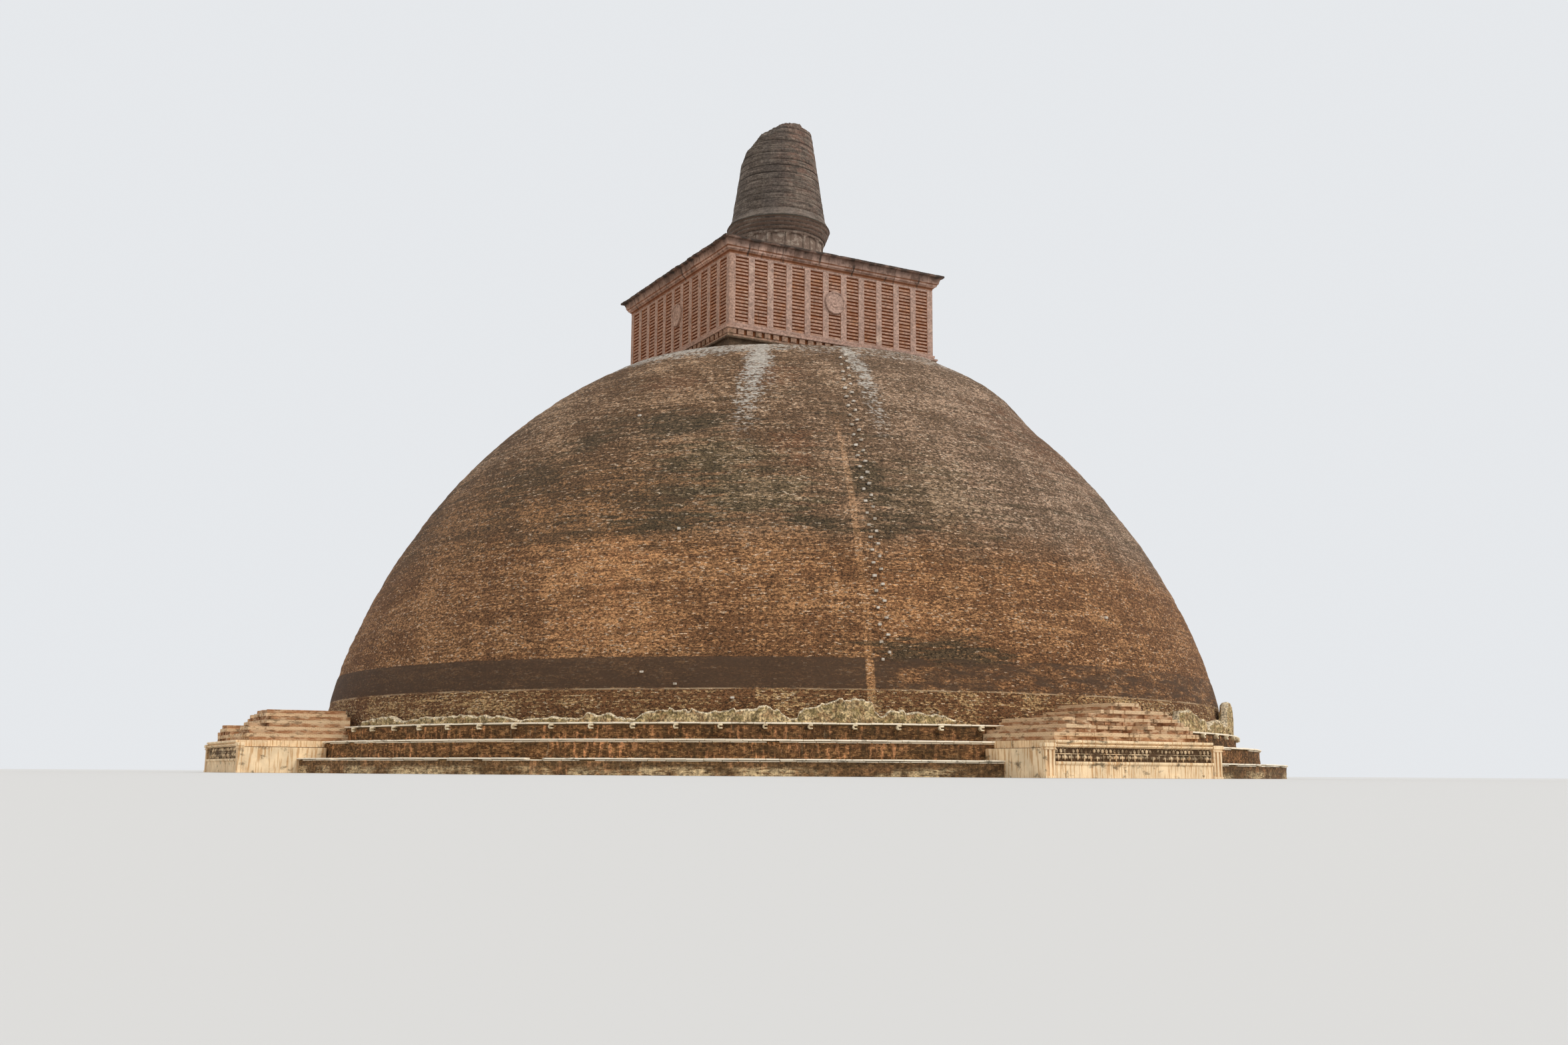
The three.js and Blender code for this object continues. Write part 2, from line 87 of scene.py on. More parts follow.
SIDES = ("front", "right", "back", "left")
TAU = 2 * math.pi


def low(node):
    """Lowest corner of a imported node, in metres of the monument."""
    return np.array(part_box(node)[0]) / M


def high(node):
    """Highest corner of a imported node, in metres of the monument."""
    return np.array(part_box(node)[1]) / M


# Levels and reaches taken from the frame.
LOWER_R, LOWER_TOP = high("lower_terrace")[[0, 2]]
MIDDLE_R, MIDDLE_TOP = high("middle_terrace")[[0, 2]]
UPPER_R, UPPER_TOP = high("upper_terrace")[[0, 2]]
DOME_R, SEAT = high("dome")[[0, 2]]
PLINTH_TOP = high("chamber_plinth")[2]
TEETH_TOP = high("chamber_tooth_course")[2]
PANELS_FOOT, PANELS_TOP = low("chamber_railed_core")[2], high("chamber_railed_core")[2]
SLAB_FOOT, ROOF = low("chamber_cornice_slab")[2], high("chamber_cornice_slab")[2]
CORNICE_HALF = high("chamber_cornice_slab")[0]
CORBEL_FOOT = low("spire_corbels")[2]
SPIRE_FOOT, SPIRE_TOP = low("spire")[2], high("spire")[2]
SPIRE_RIM = high("spire")[0]
BASE_TOP = high("front_frontispiece_plinth")[2]
CORNICE_TOP, TOWER_TOP = low("front_frontispiece_tower")[2], high("front_frontispiece_tower")[2]
STELE_CAP = high("front_stele_left")[2]

# How far out the carved faces of the frontispieces stand.
FACE = -low("front_frontispiece_mouldings")[1] - 0.12

# The dome's line: (reach / DOME_R) ** BULGE + (height / RISE) ** SHOULDER = 1.
BULGE, SHOULDER, RISE = 2.06, 1.5, 43.5

# Dark damp-proofed band round the dome's foot, and the brick strip that crosses it.
BAND_LOW, BAND_HIGH = 6.9, 9.45
STRIP_BEARING, STRIP_HALF = -19.4, 0.42

# Stains on the dome by kind: bearing, height, half width in degrees, half height and strength.
DOME_STAINS = {
    "bright": (
        (-48.0, 17.4, 7.0, 2.3, 0.95), (-47.0, 12.4, 6.5, 2.0, 0.65), (-28.0, 15.0, 5.5, 4.0, 0.12),
        (-14.5, 14.0, 3.0, 3.6, 0.4),
    ),
    "olive": (
        (-43.6, 31.6, 7.4, 1.3, 0.88), (-58.0, 30.4, 4.5, 0.9, 0.75), (-41.5, 24.2, 7.0, 2.4, 0.62),
        (-43.5, 21.4, 5.6, 1.0, 0.88), (-23.5, 21.1, 5.0, 0.9, 0.9), (-15.5, 21.3, 4.4, 1.2, 0.7),
        (-16.2, 25.2, 1.7, 2.5, 0.8), (-30.0, 26.4, 3.0, 0.8, 0.6), (-66.0, 27.0, 7.0, 2.0, 0.6),
        (-12.0, 10.0, 6.5, 1.0, 0.85),
    ),
    "green": (
        (-37.5, 27.8, 6.5, 2.0, 0.6), (-32.3, 24.1, 8.0, 2.2, 0.65), (-8.5, 24.5, 9.0, 3.4, 0.35),
    ),
    "russet": (
        (-26.5, 28.6, 3.4, 1.9, 0.75), (-30.0, 38.0, 5.0, 1.4, 0.6), (-50.0, 37.0, 6.0, 1.3, 0.6),
        (28.0, 33.0, 15.0, 4.0, 0.55),
    ),
}

# Lime runs: bearing and half width at the top, the same at the bottom, lowest height, strength.
LIME_RUNS = (
    (-33.4, 3.6, -34.2, 2.2, 24.5, 1.0),
    (-31.5, 1.6, -29.0, 1.4, 31.0, 0.6),
    (-9.0, 2.8, -14.6, 1.9, 24.0, 0.8),
)

# Step stones: the lowest and the highest, and the height where the two columns close up.
STEPS_LOW, STEPS_HIGH, STEPS_CLOSE = 9.3, 41.4, 15.0

# Single stones left in the dome's face, as (bearing, height).
STRAY_STONES = ((-40.2, 20.6), (-42.1, 8.2), (-38.6, 7.2), (-32.9, 6.1), (-52.0, 33.0), (12.0, 14.0))

# Old masonry round the dome's foot: middle and half width, and the top of each run between two
# frontispieces, as (degrees from the first one, height above the terrace). The front run also has
# one tall lump: from, to, height.
RUIN_MIDDLE, RUIN_HALF = 47.72, 0.5
RUIN_TOP = (
    (11, 0.3), (12, 0.45), (17, 0.8), (19, 0.3), (24, 0.55), (33, 0.6), (36, 0.2), (39.5, 0.45), (42.3, 0.3),
    (43.1, 0.66), (45.4, 0.66), (46.8, 0.26), (48, 0.26), (48.6, 0.75), (51.2, 1.0), (53.3, 1.0), (54, 0.76),
    (56.4, 0.84), (57.4, 1.12), (60.9, 1.15), (62.6, 0.38), (63.3, 0.4), (63.5, 0.95), (66.2, 1.5),
    (68.9, 1.9), (70.4, 1.78), (70.6, 0.9), (71.2, 0.6), (72.4, 1.05), (74.6, 0.83), (77.8, 0.55), (79, 0.3),
)
TALL_LUMP = (36.3, 43.7, 3.2)

# Frontispieces: half width of the face, how far in they run, top of the frieze, and one course of
# the broken brick core.
FRONT_HALF, BACK = 7.9, 50.0
FRIEZE_TOP = BASE_TOP + 1.12
CORE_COURSE, CORE_COURSES = 0.31, 10

# Ragged outlines of the brick core, as (x, height above the cornice): its front layer and its rear.
FORE = (
    (-7.4, 0.9), (-6.4, 1.1), (-5.9, 1.6), (-4.2, 1.5), (-2.6, 0.9), (0.8, 0.7), (2.4, 1.3), (6.2, 1.5),
    (6.6, 1.0), (7.5, 0.9),
)
REAR = (
    (-5.9, 0), (-5.6, 1.8), (-3.1, 1.9), (-2.2, 2.3), (-0.3, 2.5), (0.4, 3.1), (1.6, 3.15), (3.1, 3.0),
    (4.9, 2.8), (5.4, 2.4), (6.6, 2.1), (6.9, 0),
)

# Steles: distance from the frontispiece's middle, half width, top of the shaft, thickness.
STELE_X, STELE_HALF, STELE_TOP, STELE_DEEP = 8.4, 0.45, 2.3, 0.5

# Chamber: half widths from the axis, panels and posts of a side, teeth of a side, cornice blocks.
FRAME_HALF, RAIL_HALF, BACK_HALF = 12.7, 12.63, 12.38
TOOTH_HALF, BAND_HALF, LEDGE_HALF = 12.98, 12.86, 13.1
PANELS, POST = 11, 0.74
PANEL_PITCH = (2 * FRAME_HALF - POST) / PANELS
TEETH, TOOTH_WIDE, TOOTH_DEEP = 25, 0.7, 0.17
CORNICE_BLOCK = 2.12

# Foot and top of the dark orange line in the cornice's step, which is painted shade.
LINE_FOOT, LINE_TOP = 53.45, 53.72

# Drum: panels, the first one's turn in degrees, width of a post, reach of wall, foot and head.
DRUM_PANELS, DRUM_TURN, DRUM_POST = 15, 5.7, 0.36
DRUM_R, DRUM_FOOT_R, DRUM_HEAD_R = 5.23, 5.42, 5.3

# Corbelled rings: the lowest one's reach, and how many there are.
CORBEL_R, CORBELS = 5.33, 3.5

# The spire's line: reach where the neck ends, the neck's height, and the taper above it.
NECK, NECK_TALL, TAPER = 5.42, 1.15, 0.148

# The bearing, in degrees, that the spire's reddish side faces, and the number of its uneven rings.
RED_BEARING, RINGS = 20.0, 18

# Levels of the spire's ring joints above its foot: a roll, a tall ring, and uneven rings that grow lower.
RING_TALL = np.linspace(0.82, 0.66, RINGS) * np.random.default_rng(207).uniform(0.72, 1.28, RINGS)
RING_JOINTS = np.concatenate([[0, 1.15, 2.25], 2.25 + np.cumsum(RING_TALL)])

# The break as the viewer sees it: metres right of the axis, and the fall from the top.
BREAK_LINE = (
    (-4.8, 5.8), (-4.2, 5.05), (-3.7, 3.76), (-2.8, 2.72), (-1.9, 1.58), (-0.9, 1.22), (-0.45, 0.8),
    (0, 0.52), (0.9, 0.22), (2.3, 0.32), (2.8, 0.9), (3.3, 1.09), (3.75, 1.51), (4.2, 2.6), (4.4, 3.2),
)

# The photograph's camera, in metres of the monument and radians: the viewer's bearing in degrees,
# distance from the axis, height of the eye, and the camera's own turns.
VIEW_BEARING, CAMERA_DISTANCE, CAMERA_HEIGHT = 28.8, 167.2, 0.2
CAMERA_PITCH, CAMERA_YAW, CAMERA_ROLL = 0.1645, 0.0052, 0.0062
IMAGE_WIDTH, FOCAL_PIXELS, SENSOR = 2353, 2270, 36.0

# Tints that no setting holds: stains, joints, worn faces and small stones.
TINTS = {
    "dome_russet": (0.17, 0.075, 0.035),
    "dome_green": (0.095, 0.075, 0.037),
    "dome_green_pale": (0.31, 0.23, 0.135),
    "dome_foot": (0.48, 0.305, 0.14),
    "dome_fleck": (0.6, 0.48, 0.35),
    "dome_lip": (0.5, 0.36, 0.22),
    "terrace_pale": (0.26, 0.133, 0.052),
    "terrace_run": (0.055, 0.034, 0.014),
    "terrace_drip": (0.4, 0.32, 0.2),
    "terrace_low": (0.155, 0.092, 0.04),
    "terrace_worn": (0.6, 0.44, 0.24),
    "dust_pale": (0.4, 0.27, 0.15),
    "dust_dark": (0.24, 0.18, 0.09),
    "stone_bleached": (0.93, 0.84, 0.68),
    # Painted shade in the hollows of the carved frieze.
    "stone_hollow_shade": (0.095, 0.052, 0.024),
    "core_dark": (0.36, 0.16, 0.07),
    "core_pale": (0.56, 0.3, 0.15),
    "core_ledge": (0.78, 0.56, 0.34),
    "core_joint": (0.25, 0.14, 0.07),
    "core_wash": (0.76, 0.56, 0.35),
    "core_dirt": (0.15, 0.085, 0.04),
    "masonry_cream": (0.66, 0.49, 0.26),
    "masonry_olive": (0.33, 0.24, 0.105),
    "masonry_rust": (0.35, 0.2, 0.09),
    "masonry_run": (0.18, 0.12, 0.06),
    # Cream of the masonry's broken top: lime, with a painted highlight.
    "masonry_crown": (0.76, 0.62, 0.42),
    "plaster_bleached": (0.62, 0.5, 0.38),
    # Painted warm shade for the chamber's left side, away from the sun.
    "warm_shade_side": (0.95, 0.86, 0.77),
    "rail_dark": (0.42, 0.21, 0.115),
    "tooth": (0.36, 0.22, 0.15),
    "tooth_dark": (0.2, 0.125, 0.075),
    # Olive brick of the plinth, darkened as painted shade beneath the ledge.
    "plinth": (0.115, 0.075, 0.045),
    "plinth_dark": (0.08, 0.052, 0.03),
    "cornice_patch": (0.29, 0.175, 0.13),
    "cornice_blot": (0.13, 0.075, 0.052),
    "cornice_joint": (0.1, 0.05, 0.03),
    "cornice_dark": (0.11, 0.068, 0.05),
    "drum_pale": (0.42, 0.33, 0.26),
    "drum_blot": (0.14, 0.095, 0.07),
    "drum_run": (0.08, 0.058, 0.04),
    # Painted shade in the drum's grooves and along its arch tops.
    "drum_groove_shade": (0.05, 0.036, 0.026),
    # Painted shade on the drum's head under the corbels.
    "drum_head_shade": (0.12, 0.085, 0.065),
    "spire_pale": (0.28, 0.225, 0.175),
    "spire_blot": (0.075, 0.055, 0.042),
    # Soot and painted shade on the spire's side that faces bearing -34.
    "spire_soot_and_shade": (0.07, 0.058, 0.052),
    "spire_joint": (0.05, 0.04, 0.03),
    "spire_flare": (0.245, 0.198, 0.163),
    "spire_rim_dark": (0.028, 0.027, 0.018),
    "spire_fillet": (0.2, 0.115, 0.078),
    # Painted shade in the grooves between the spire's rings.
    "spire_groove_shade": (0.03, 0.022, 0.017),
    "spout": (0.9, 0.78, 0.56),
    "spout_dirty": (0.55, 0.43, 0.26),
    "step": (0.68, 0.61, 0.52),
    "step_dirty": (0.36, 0.3, 0.23),
    "sky": (0.79, 0.81, 0.835),
}


def length(name, description, metres):
    """A length setting, with its default given in metres of the monument."""
    return FloatProperty(name=name, description=description, default=metres * M, unit="LENGTH")


class StupaSizes(bpy.types.PropertyGroup):
    """Sizes that can be changed, in metres of the model."""

    brick_length: length("Brick length", "Length of one brick", 0.3)
    brick_course: length("Brick course", "Height of one course with its joint", 0.1)
    brick_joint: length("Brick joint", "Width of a joint", 0.012)
    coping_stone: length("Coping stone", "Length of a coping stone", 1.3)
    spout_pitch: length("Spout pitch", "Distance between spout stones", 3.53)
    step_pitch: length("Step pitch", "Rise between step stones up the dome", 1.16)
    rails: IntProperty(name="Rails", description="Rails in each panel of the chamber", default=20, min=4)
    floor: length("Floor", "Width of the floor", 9000.0)


def colour(name, description, value):
    """A colour setting with its default."""
    return FloatVectorProperty(
        name=name, description=description, default=value, size=3, min=0.0, max=1.0, subtype="COLOR"
    )


class StupaColours(bpy.types.PropertyGroup):
    """Colours that can be changed."""

    orange_brick: colour("Orange brick", "Dark bricks low on the dome", (0.172, 0.077, 0.031))
    orange_pale: colour("Pale orange brick", "Clean bricks low on the dome", (0.44, 0.222, 0.094))
    grey_brick: colour("Grey brick", "Dark bricks high on the dome", (0.135, 0.072, 0.034))
    grey_pale: colour("Pale grey brick", "Clean bricks high on the dome", (0.42, 0.26, 0.148))
    mauve_brick: colour("Mauve brick", "Dark bricks on the dome's right", (0.17, 0.105, 0.062))
    mauve_pale: colour("Pale mauve brick", "Clean bricks on the dome's right", (0.42, 0.28, 0.185))
    damp_brick: colour("Damp brick", "Dark olive smears", (0.07, 0.05, 0.026))
    dark_band: colour("Dark band", "Smooth band round the foot", (0.073, 0.042, 0.024))
    lime: colour("Lime", "Lime wash and old plaster", (0.55, 0.5, 0.43))
    terrace_brick: colour("Terrace brick", "Dark brick of the terraces", (0.175, 0.082, 0.03))
    terrace_light: colour("Fresh terrace brick", "Clean patches of the terraces", (0.5, 0.235, 0.1))
    pale_stone: colour("Pale stone", "Limestone of the copings and frontispieces", (0.96, 0.73, 0.455))
    ochre: colour("Ochre", "Rusty stain on stone", (0.5, 0.24, 0.075))
    chamber: colour("Chamber", "Plaster of the posts", (0.42, 0.275, 0.215))
    rail: colour("Rail", "Brick of the rails", (0.445, 0.272, 0.198))
    # Shadow brick is also laid as painted shade on post sides, rail undersides, tooth gaps and the cornice's
    # lines.
    shadow_brick: colour("Shadow brick", "Dark orange brick behind the rails", (0.44, 0.15, 0.05))
    soot: colour("Soot", "Black growth on edges", (0.04, 0.032, 0.026))
    drum: colour("Drum", "Plaster of the drum", (0.225, 0.155, 0.116))
    spire: colour("Spire", "Brick of the spire", (0.137, 0.103, 0.08))
    spire_red: colour("Red spire", "Red patches of the spire", (0.22, 0.12, 0.085))
    floor: colour("Floor", "Plain floor", (0.62, 0.61, 0.59))


# Random values and meshes


def lattice(ix, iy, iz, seed):
    """A random number from -1 to 1 for each lattice corner, from whole-number mixing of its place."""
    n = (ix * 374761393 + iy * 668265263 + iz * 1103515245 + seed * 362437) & 0xFFFFFFFF
    n = ((n ^ (n >> 13)) * 1274126177) & 0xFFFFFFFF
    return ((n ^ (n >> 16)) & 0xFFFF) / 32767.5 - 1.0


def cell_of(value):
    """The whole number of the cell that each value lies in."""
    return np.floor(value).astype(np.int64)


def wave(points, cell, seed=0):
    """Smooth random value from -1 to 1: lattice corners blended by 3t^2 - 2t^3 along each axis."""
    spot = np.asarray(points, float) / np.asarray(cell, float)
    corner = cell_of(spot)
    t = spot - corner
    t = t * t * (3 - 2 * t)
    total = 0.0
    for near in np.ndindex(2, 2, 2):
        share = np.abs(1 - np.array(near) - t)
        value = lattice(*np.moveaxis(corner + near, -1, 0), seed)
        total = total + share[..., 0] * share[..., 1] * share[..., 2] * value
    return total


def rough(points, cell, seed=0, octaves=3):
    """Sum of waves, each half as long and half as high as the one before."""
    cell = np.asarray(cell, float)
    return sum(wave(points, cell / 2**k, seed + 17 * k) / 2**k for k in range(octaves))


def step(value, start, end):
    """0 before start, 1 after end, smooth between."""
    t = np.clip((np.asarray(value, float) - start) / (end - start), 0, 1)
    return t * t * (3 - 2 * t)


def xyz(x, y, z):
    """Points from three arrays or numbers, spread to one size."""
    return np.stack(np.broadcast_arrays(x, y, z), -1)


def plan(reach, bearing):
    """x and y at a reach from the axis and a bearing in radians."""
    return reach * np.sin(bearing), -reach * np.cos(bearing)


def polar(reach, bearing, height):
    """Points at a reach from the axis, a bearing in radians and a height."""
    return xyz(*plan(reach, bearing), height)


def turns_round(columns):
    """Bearings of evenly spaced columns round the axis."""
    return np.arange(columns) * TAU / columns


def facing(bearing):
    """The level directions along a round wall and out of it, at a bearing."""
    return polar(1.0, bearing + math.pi / 2, 0.0), polar(1.0, bearing, 0.0)


def quarter(points, turns):
    """Points turned about the axis by quarter turns from -Y towards +X."""
    c, s = ((1, 0), (0, 1), (-1, 0), (0, -1))[turns % 4]
    x, y, z = np.moveaxis(points, -1, 0)
    return np.stack([x * c - y * s, x * s + y * c, z], -1)


class Shape:
    """Points and faces of one piece, gathered from worked-out surfaces."""

    def __init__(self):
        self.points = []
        self.faces = []
        self.marks = []
        self.count = 0

    def add(self, points, faces, mark=0.0):
        """Adds points, the first of them with a mark each, and lists of faces that count from 0."""
        points = points.reshape(-1, 3)
        marks = np.zeros(len(points))
        marks[: np.size(mark)] = np.ravel(mark)
        self.points.append(points)
        self.marks.append(marks)
        self.faces += [np.asarray(f, np.int64) + self.count for f in faces]
        self.count += len(points)

    def grid(self, points, closed=False, mark=0.0):
        """A grid of rows and columns, with a mark for each point. As a rule the last column joins the
        first, and the first and last rows are closed to a middle. When closed, the last row joins the
        first, and the first and last columns are closed to a middle."""
        rows, columns = points.shape[:2]
        total = rows * columns
        r = np.arange(rows if closed else rows - 1)[:, None]
        c = np.arange(columns - 1 if closed else columns)[None, :]
        a, b = r * columns + c, r * columns + (c + 1) % columns
        up = ((r + 1) % rows) * columns
        faces = [np.stack([a, b, up + (c + 1) % columns, up + c], -1).reshape(-1, 4)]
        if closed:
            ends = points[:, 0], points[:, -1]
            ring = np.arange(rows) * columns
            after = (np.arange(rows) + 1) % rows * columns
            fans = (ring, after), (after + columns - 1, ring + columns - 1)
        else:
            ends = points[0], points[-1]
            ring, last = np.arange(columns), total - columns
            after = (ring + 1) % columns
            fans = (after, ring), (last + ring, last + after)
        for number, (first, second) in enumerate(fans):
            faces.append(np.stack([np.full(len(ring), total + number), first, second], -1))
        self.add(np.vstack([points.reshape(-1, 3), *(end.mean(0) for end in ends)]), faces, mark)

    def stones(self, centre, along, out, half, chamfer, wear, seed):
        """Worn stones. An eight-cornered section, a rectangle with cut corners, is carried along each
        stone's length through four places and drawn in by the chamfer at both ends. Every corner then
        shifts by a random share of the wear. half holds half length, half depth and half height."""
        centre = np.asarray(centre, float).reshape(-1, 3)
        n = len(centre)
        along, out, half = (np.broadcast_to(np.asarray(v, float), (n, 3)) for v in (along, out, half))
        up = np.cross(along, out)
        long, deep, tall = (half[:, k, None, None] for k in range(3))
        ends, inward, drawn = (
            np.array(v)[None, :, None] for v in ((-1, -1, 1, 1), (0, 1, -1, 0), (1, 0, 0, 1))
        )
        spot = ends * long + inward * chamfer
        inset = drawn * chamfer
        side_v, lean_v = np.array([(1, 1, 0, 0, -1, -1, 0, 0), (0, 0, 1, -1, 0, 0, -1, 1)])
        side_w, lean_w = np.array([(0, 0, 1, 1, 0, 0, -1, -1), (-1, 1, 0, 0, 1, -1, 0, 0)])
        v = side_v * (deep - inset) + lean_v * (deep - inset - chamfer)
        w = side_w * (tall - inset) + lean_w * (tall - inset - chamfer)
        grid = (
            centre[:, None, None]
            + along[:, None, None] * spot[..., None]
            + out[:, None, None] * v[..., None]
            + up[:, None, None] * w[..., None]
        )
        grid = grid + np.random.default_rng(seed).uniform(-1, 1, grid.shape) * wear
        base = np.arange(n)[:, None, None] * 32
        start = base + np.arange(3)[None, :, None] * 8
        k = np.arange(8)
        a, b = start + k, start + (k + 1) % 8
        quads = np.stack([a, b, b + 8, a + 8], -1).reshape(-1, 4)
        self.add(grid, [quads, base[:, 0] + k[::-1], base[:, 0] + 24 + k])

    def lathe(self, reach, height, columns, shift):
        """A line of reaches and heights turned about the axis. shift moves the points outwards."""
        reach, height = np.asarray(reach)[:, None], np.asarray(height)[:, None]
        bearing = turns_round(columns)
        points = polar(reach, bearing, height)
        self.grid(polar(reach + shift(points), bearing, height))

    def square(self, half, height, per_side, shift=None):
        """A line of half widths and heights carried round a square. shift moves the points outwards."""
        half, height = np.asarray(half, float)[:, None], np.asarray(height, float)[:, None]
        flat = xyz(half * np.linspace(-1, 1, per_side, endpoint=False), -half, height)
        points = np.concatenate([quarter(flat, k) for k in range(4)], 1)
        if shift is not None:
            grow = 1 + shift(points) / np.maximum(half, 0.5)
            points = points * xyz(grow, grow, 1.0)
        self.grid(points)

    def mesh(self, name, smooth):
        """The gathered surfaces as one mesh, with edges sharper than smooth degrees kept sharp."""
        points = np.concatenate(self.points) * M
        marks = np.concatenate(self.marks)
        loops = np.concatenate([f.ravel() for f in self.faces])
        totals = np.concatenate([np.full(len(f), f.shape[1]) for f in self.faces])
        starts = np.concatenate([[0], np.cumsum(totals)[:-1]])
        mesh = bpy.data.meshes.new(name)
        mesh.vertices.add(len(points))
        mesh.vertices.foreach_set("co", points.ravel().astype(np.float32))
        mesh.loops.add(len(loops))
        mesh.loops.foreach_set("vertex_index", loops.astype(np.int32))
        mesh.polygons.add(len(totals))
        mesh.polygons.foreach_set("loop_start", starts.astype(np.int32))
        mesh.update(calc_edges=True)
        if mesh.validate():
            raise RuntimeError("mesh of " + name + " had faulty faces")
        if marks.any():
            mesh.attributes.new("mark", "FLOAT", "POINT").data.foreach_set("value", marks.astype(np.float32))
        mesh.shade_smooth()
        mesh.set_sharp_from_angle(angle=math.radians(smooth))
        return mesh


def place(name, shape, material, nodes=(), smooth=35.0):
    """Puts a finished shape into the scene as a piece that rides on the one body."""
    obj = bpy.data.objects.new(name, shape.mesh(name, smooth))
    bpy.context.scene.collection.objects.link(obj)
    obj.data.materials.append(bpy.data.materials[material])
    if nodes:
        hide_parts(*nodes)
    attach(obj, "root")


# Materials


def scaled(value, share):
    """A colour with its brightness multiplied, as four numbers."""
    return (*(v * share for v in value[:3]), 1.0)


def paint(name, share=1.0):
    """A colour by its name, from the settings or from TINTS, with its brightness multiplied."""
    settings = bpy.context.scene.stupa_colours
    return scaled(TINTS[name] if name in TINTS else getattr(settings, name), share)


class Nodes:
    """Short calls that add nodes to one tree and link them."""

    def __init__(self, tree):
        self.tree = tree

    def put(self, socket, value):
        """Links a socket, or sets its own value. A word is the name of a colour."""
        if isinstance(value, bpy.types.NodeSocket):
            self.tree.links.new(value, socket)
        else:
            socket.default_value = paint(value) if isinstance(value, str) else value

    def new(self, kind, values=None, **settings):
        """A node of a kind with its settings and its inputs."""
        node = self.tree.nodes.new("ShaderNode" + kind)
        for key, value in settings.items():
            setattr(node, key, value)
        for key, value in (values or {}).items():
            self.put(node.inputs[key], value)
        return node

    def maths(self, operation, a, b=0.0):
        """One sum of two numbers."""
        return self.new("Math", {0: a, 1: b}, operation=operation).outputs[0]

    plus = partialmethod(maths, "ADD")
    minus = partialmethod(maths, "SUBTRACT")
    times = partialmethod(maths, "MULTIPLY")
    over = partialmethod(maths, "DIVIDE")
    most = partialmethod(maths, "MAXIMUM")
    size = partialmethod(maths, "ABSOLUTE")
    radians = partialmethod(maths, "RADIANS")

    def joined(self, x, y, z=0.0):
        """A place from its three parts."""
        return self.new("CombineXYZ", {0: x, 1: y, 2: z}).outputs[0]

    def vector(self, operation, a, b):
        """One sum of two places."""
        return self.new("VectorMath", {0: a, 1: b}, operation=operation).outputs[0]

    stretched = partialmethod(vector, "MULTIPLY")
    moved = partialmethod(vector, "ADD")

    def from_half(self, value, weight):
        """A weight times how far a value lies from a half."""
        return self.new("Math", {0: value, 1: weight, 2: -weight / 2}, operation="MULTIPLY_ADD").outputs[0]

    def weighted(self, start, *terms):
        """A start value plus each weight times how far its value lies from a half."""
        for weight, value in terms:
            start = self.plus(start, self.from_half(value, weight))
        return start

    def between(self, share, a, b):
        """Number a turned into number b by a share."""
        return self.new("Mix", {0: share, 2: a, 3: b}, data_type="FLOAT").outputs[0]

    def mix(self, share, a, b, blend="MIX"):
        """Colour a turned into colour b by a share."""
        values = {0: share, 6: a, 7: b}
        return self.new("Mix", values, data_type="RGBA", blend_type=blend, clamp_factor=True).outputs[2]

    def coats(self, base, *layers):
        """Colours laid over a base one after the other. A layer is a mask, its strength and a colour."""
        for mask, strength, colour in layers:
            base = self.mix(self.times(mask, strength), base, colour)
        return base

    def shade(self, base, share):
        """A colour multiplied by a number."""
        return self.new("VectorMath", {0: base, "Scale": share}, operation="SCALE").outputs[0]

    def ramp(self, value, start, end, to_start=0.0, to_end=1.0, kind="SMOOTHSTEP"):
        """A value carried smoothly from one range to another."""
        values = {"Value": value, "From Min": start, "From Max": end, "To Min": to_start, "To Max": to_end}
        return self.new("MapRange", values, interpolation_type=kind).outputs["Result"]

    def band(self, value, start, end, soft):
        """1 between two values and 0 outside, with soft edges."""
        rise = self.ramp(value, start - soft, start + soft)
        return self.times(rise, self.ramp(value, end - soft, end + soft, 1.0, 0.0))

    def noise(self, where, scale, detail=3.0, roughness=0.55):
        """Noise from 0 to 1 at a place."""
        values = {"Vector": where, "Scale": scale, "Detail": detail, "Roughness": roughness}
        return self.new("TexNoise", values).outputs["Fac"]

    def ragged(self, where, scale, size, detail=4.0):
        """Noise about 0, size high, that makes an edge ragged."""
        return self.from_half(self.noise(where, scale, detail), size)

    def mottled(self, base, where, scale, dark, light):
        """A colour with fine darker and lighter spots."""
        return self.shade(base, self.ramp(self.noise(where, scale, 3.0, 0.75), 0.3, 0.7, dark, light))

    def bricks(self, where, wide, tall, joint, smooth, mortar=0.0, offset=0.5):
        """Bricks on a flat place: a random tone for each, and how deep in a joint a point lies."""
        values = {
            "Vector": where,
            "Color1": (0, 0, 0, 1),
            "Color2": (1, 1, 1, 1),
            "Mortar": (mortar, mortar, mortar, 1),
            "Scale": 1.0,
            "Mortar Size": joint,
            "Mortar Smooth": smooth,
            "Brick Width": wide,
            "Row Height": tall,
        }
        brick = self.new("TexBrick", values, offset=offset).outputs
        return self.new("SeparateColor", {0: brick["Color"]}).outputs[0], brick["Fac"]

    def normal(self):
        """The three parts of the surface's direction."""
        return self.new("SeparateXYZ", {0: self.new("NewGeometry").outputs["Normal"]}).outputs

    def mark(self):
        """The number that a piece's mesh carries at each point."""
        return self.new("Attribute", attribute_name="mark").outputs["Fac"]

    def group(self, tree, *values):
        """A shared effect placed with its own values, in the order of its inputs."""
        return self.new("Group", dict(enumerate(values)), node_tree=tree).outputs

    def wall(self, round_wall=1.0):
        """Where a point is on the monument."""
        return self.group(place_group(), round_wall)

    def patches(self, size, level, share, soft, seed):
        """Mask of soft patches."""
        return self.group(patches_group(), size, level, share, soft, seed)["Mask"]

    def streaks(self, round_wall, width, drop, share, soft, seed):
        """Mask of rain streaks."""
        return self.group(streaks_group(), round_wall, width, drop, share, soft, seed)["Mask"]

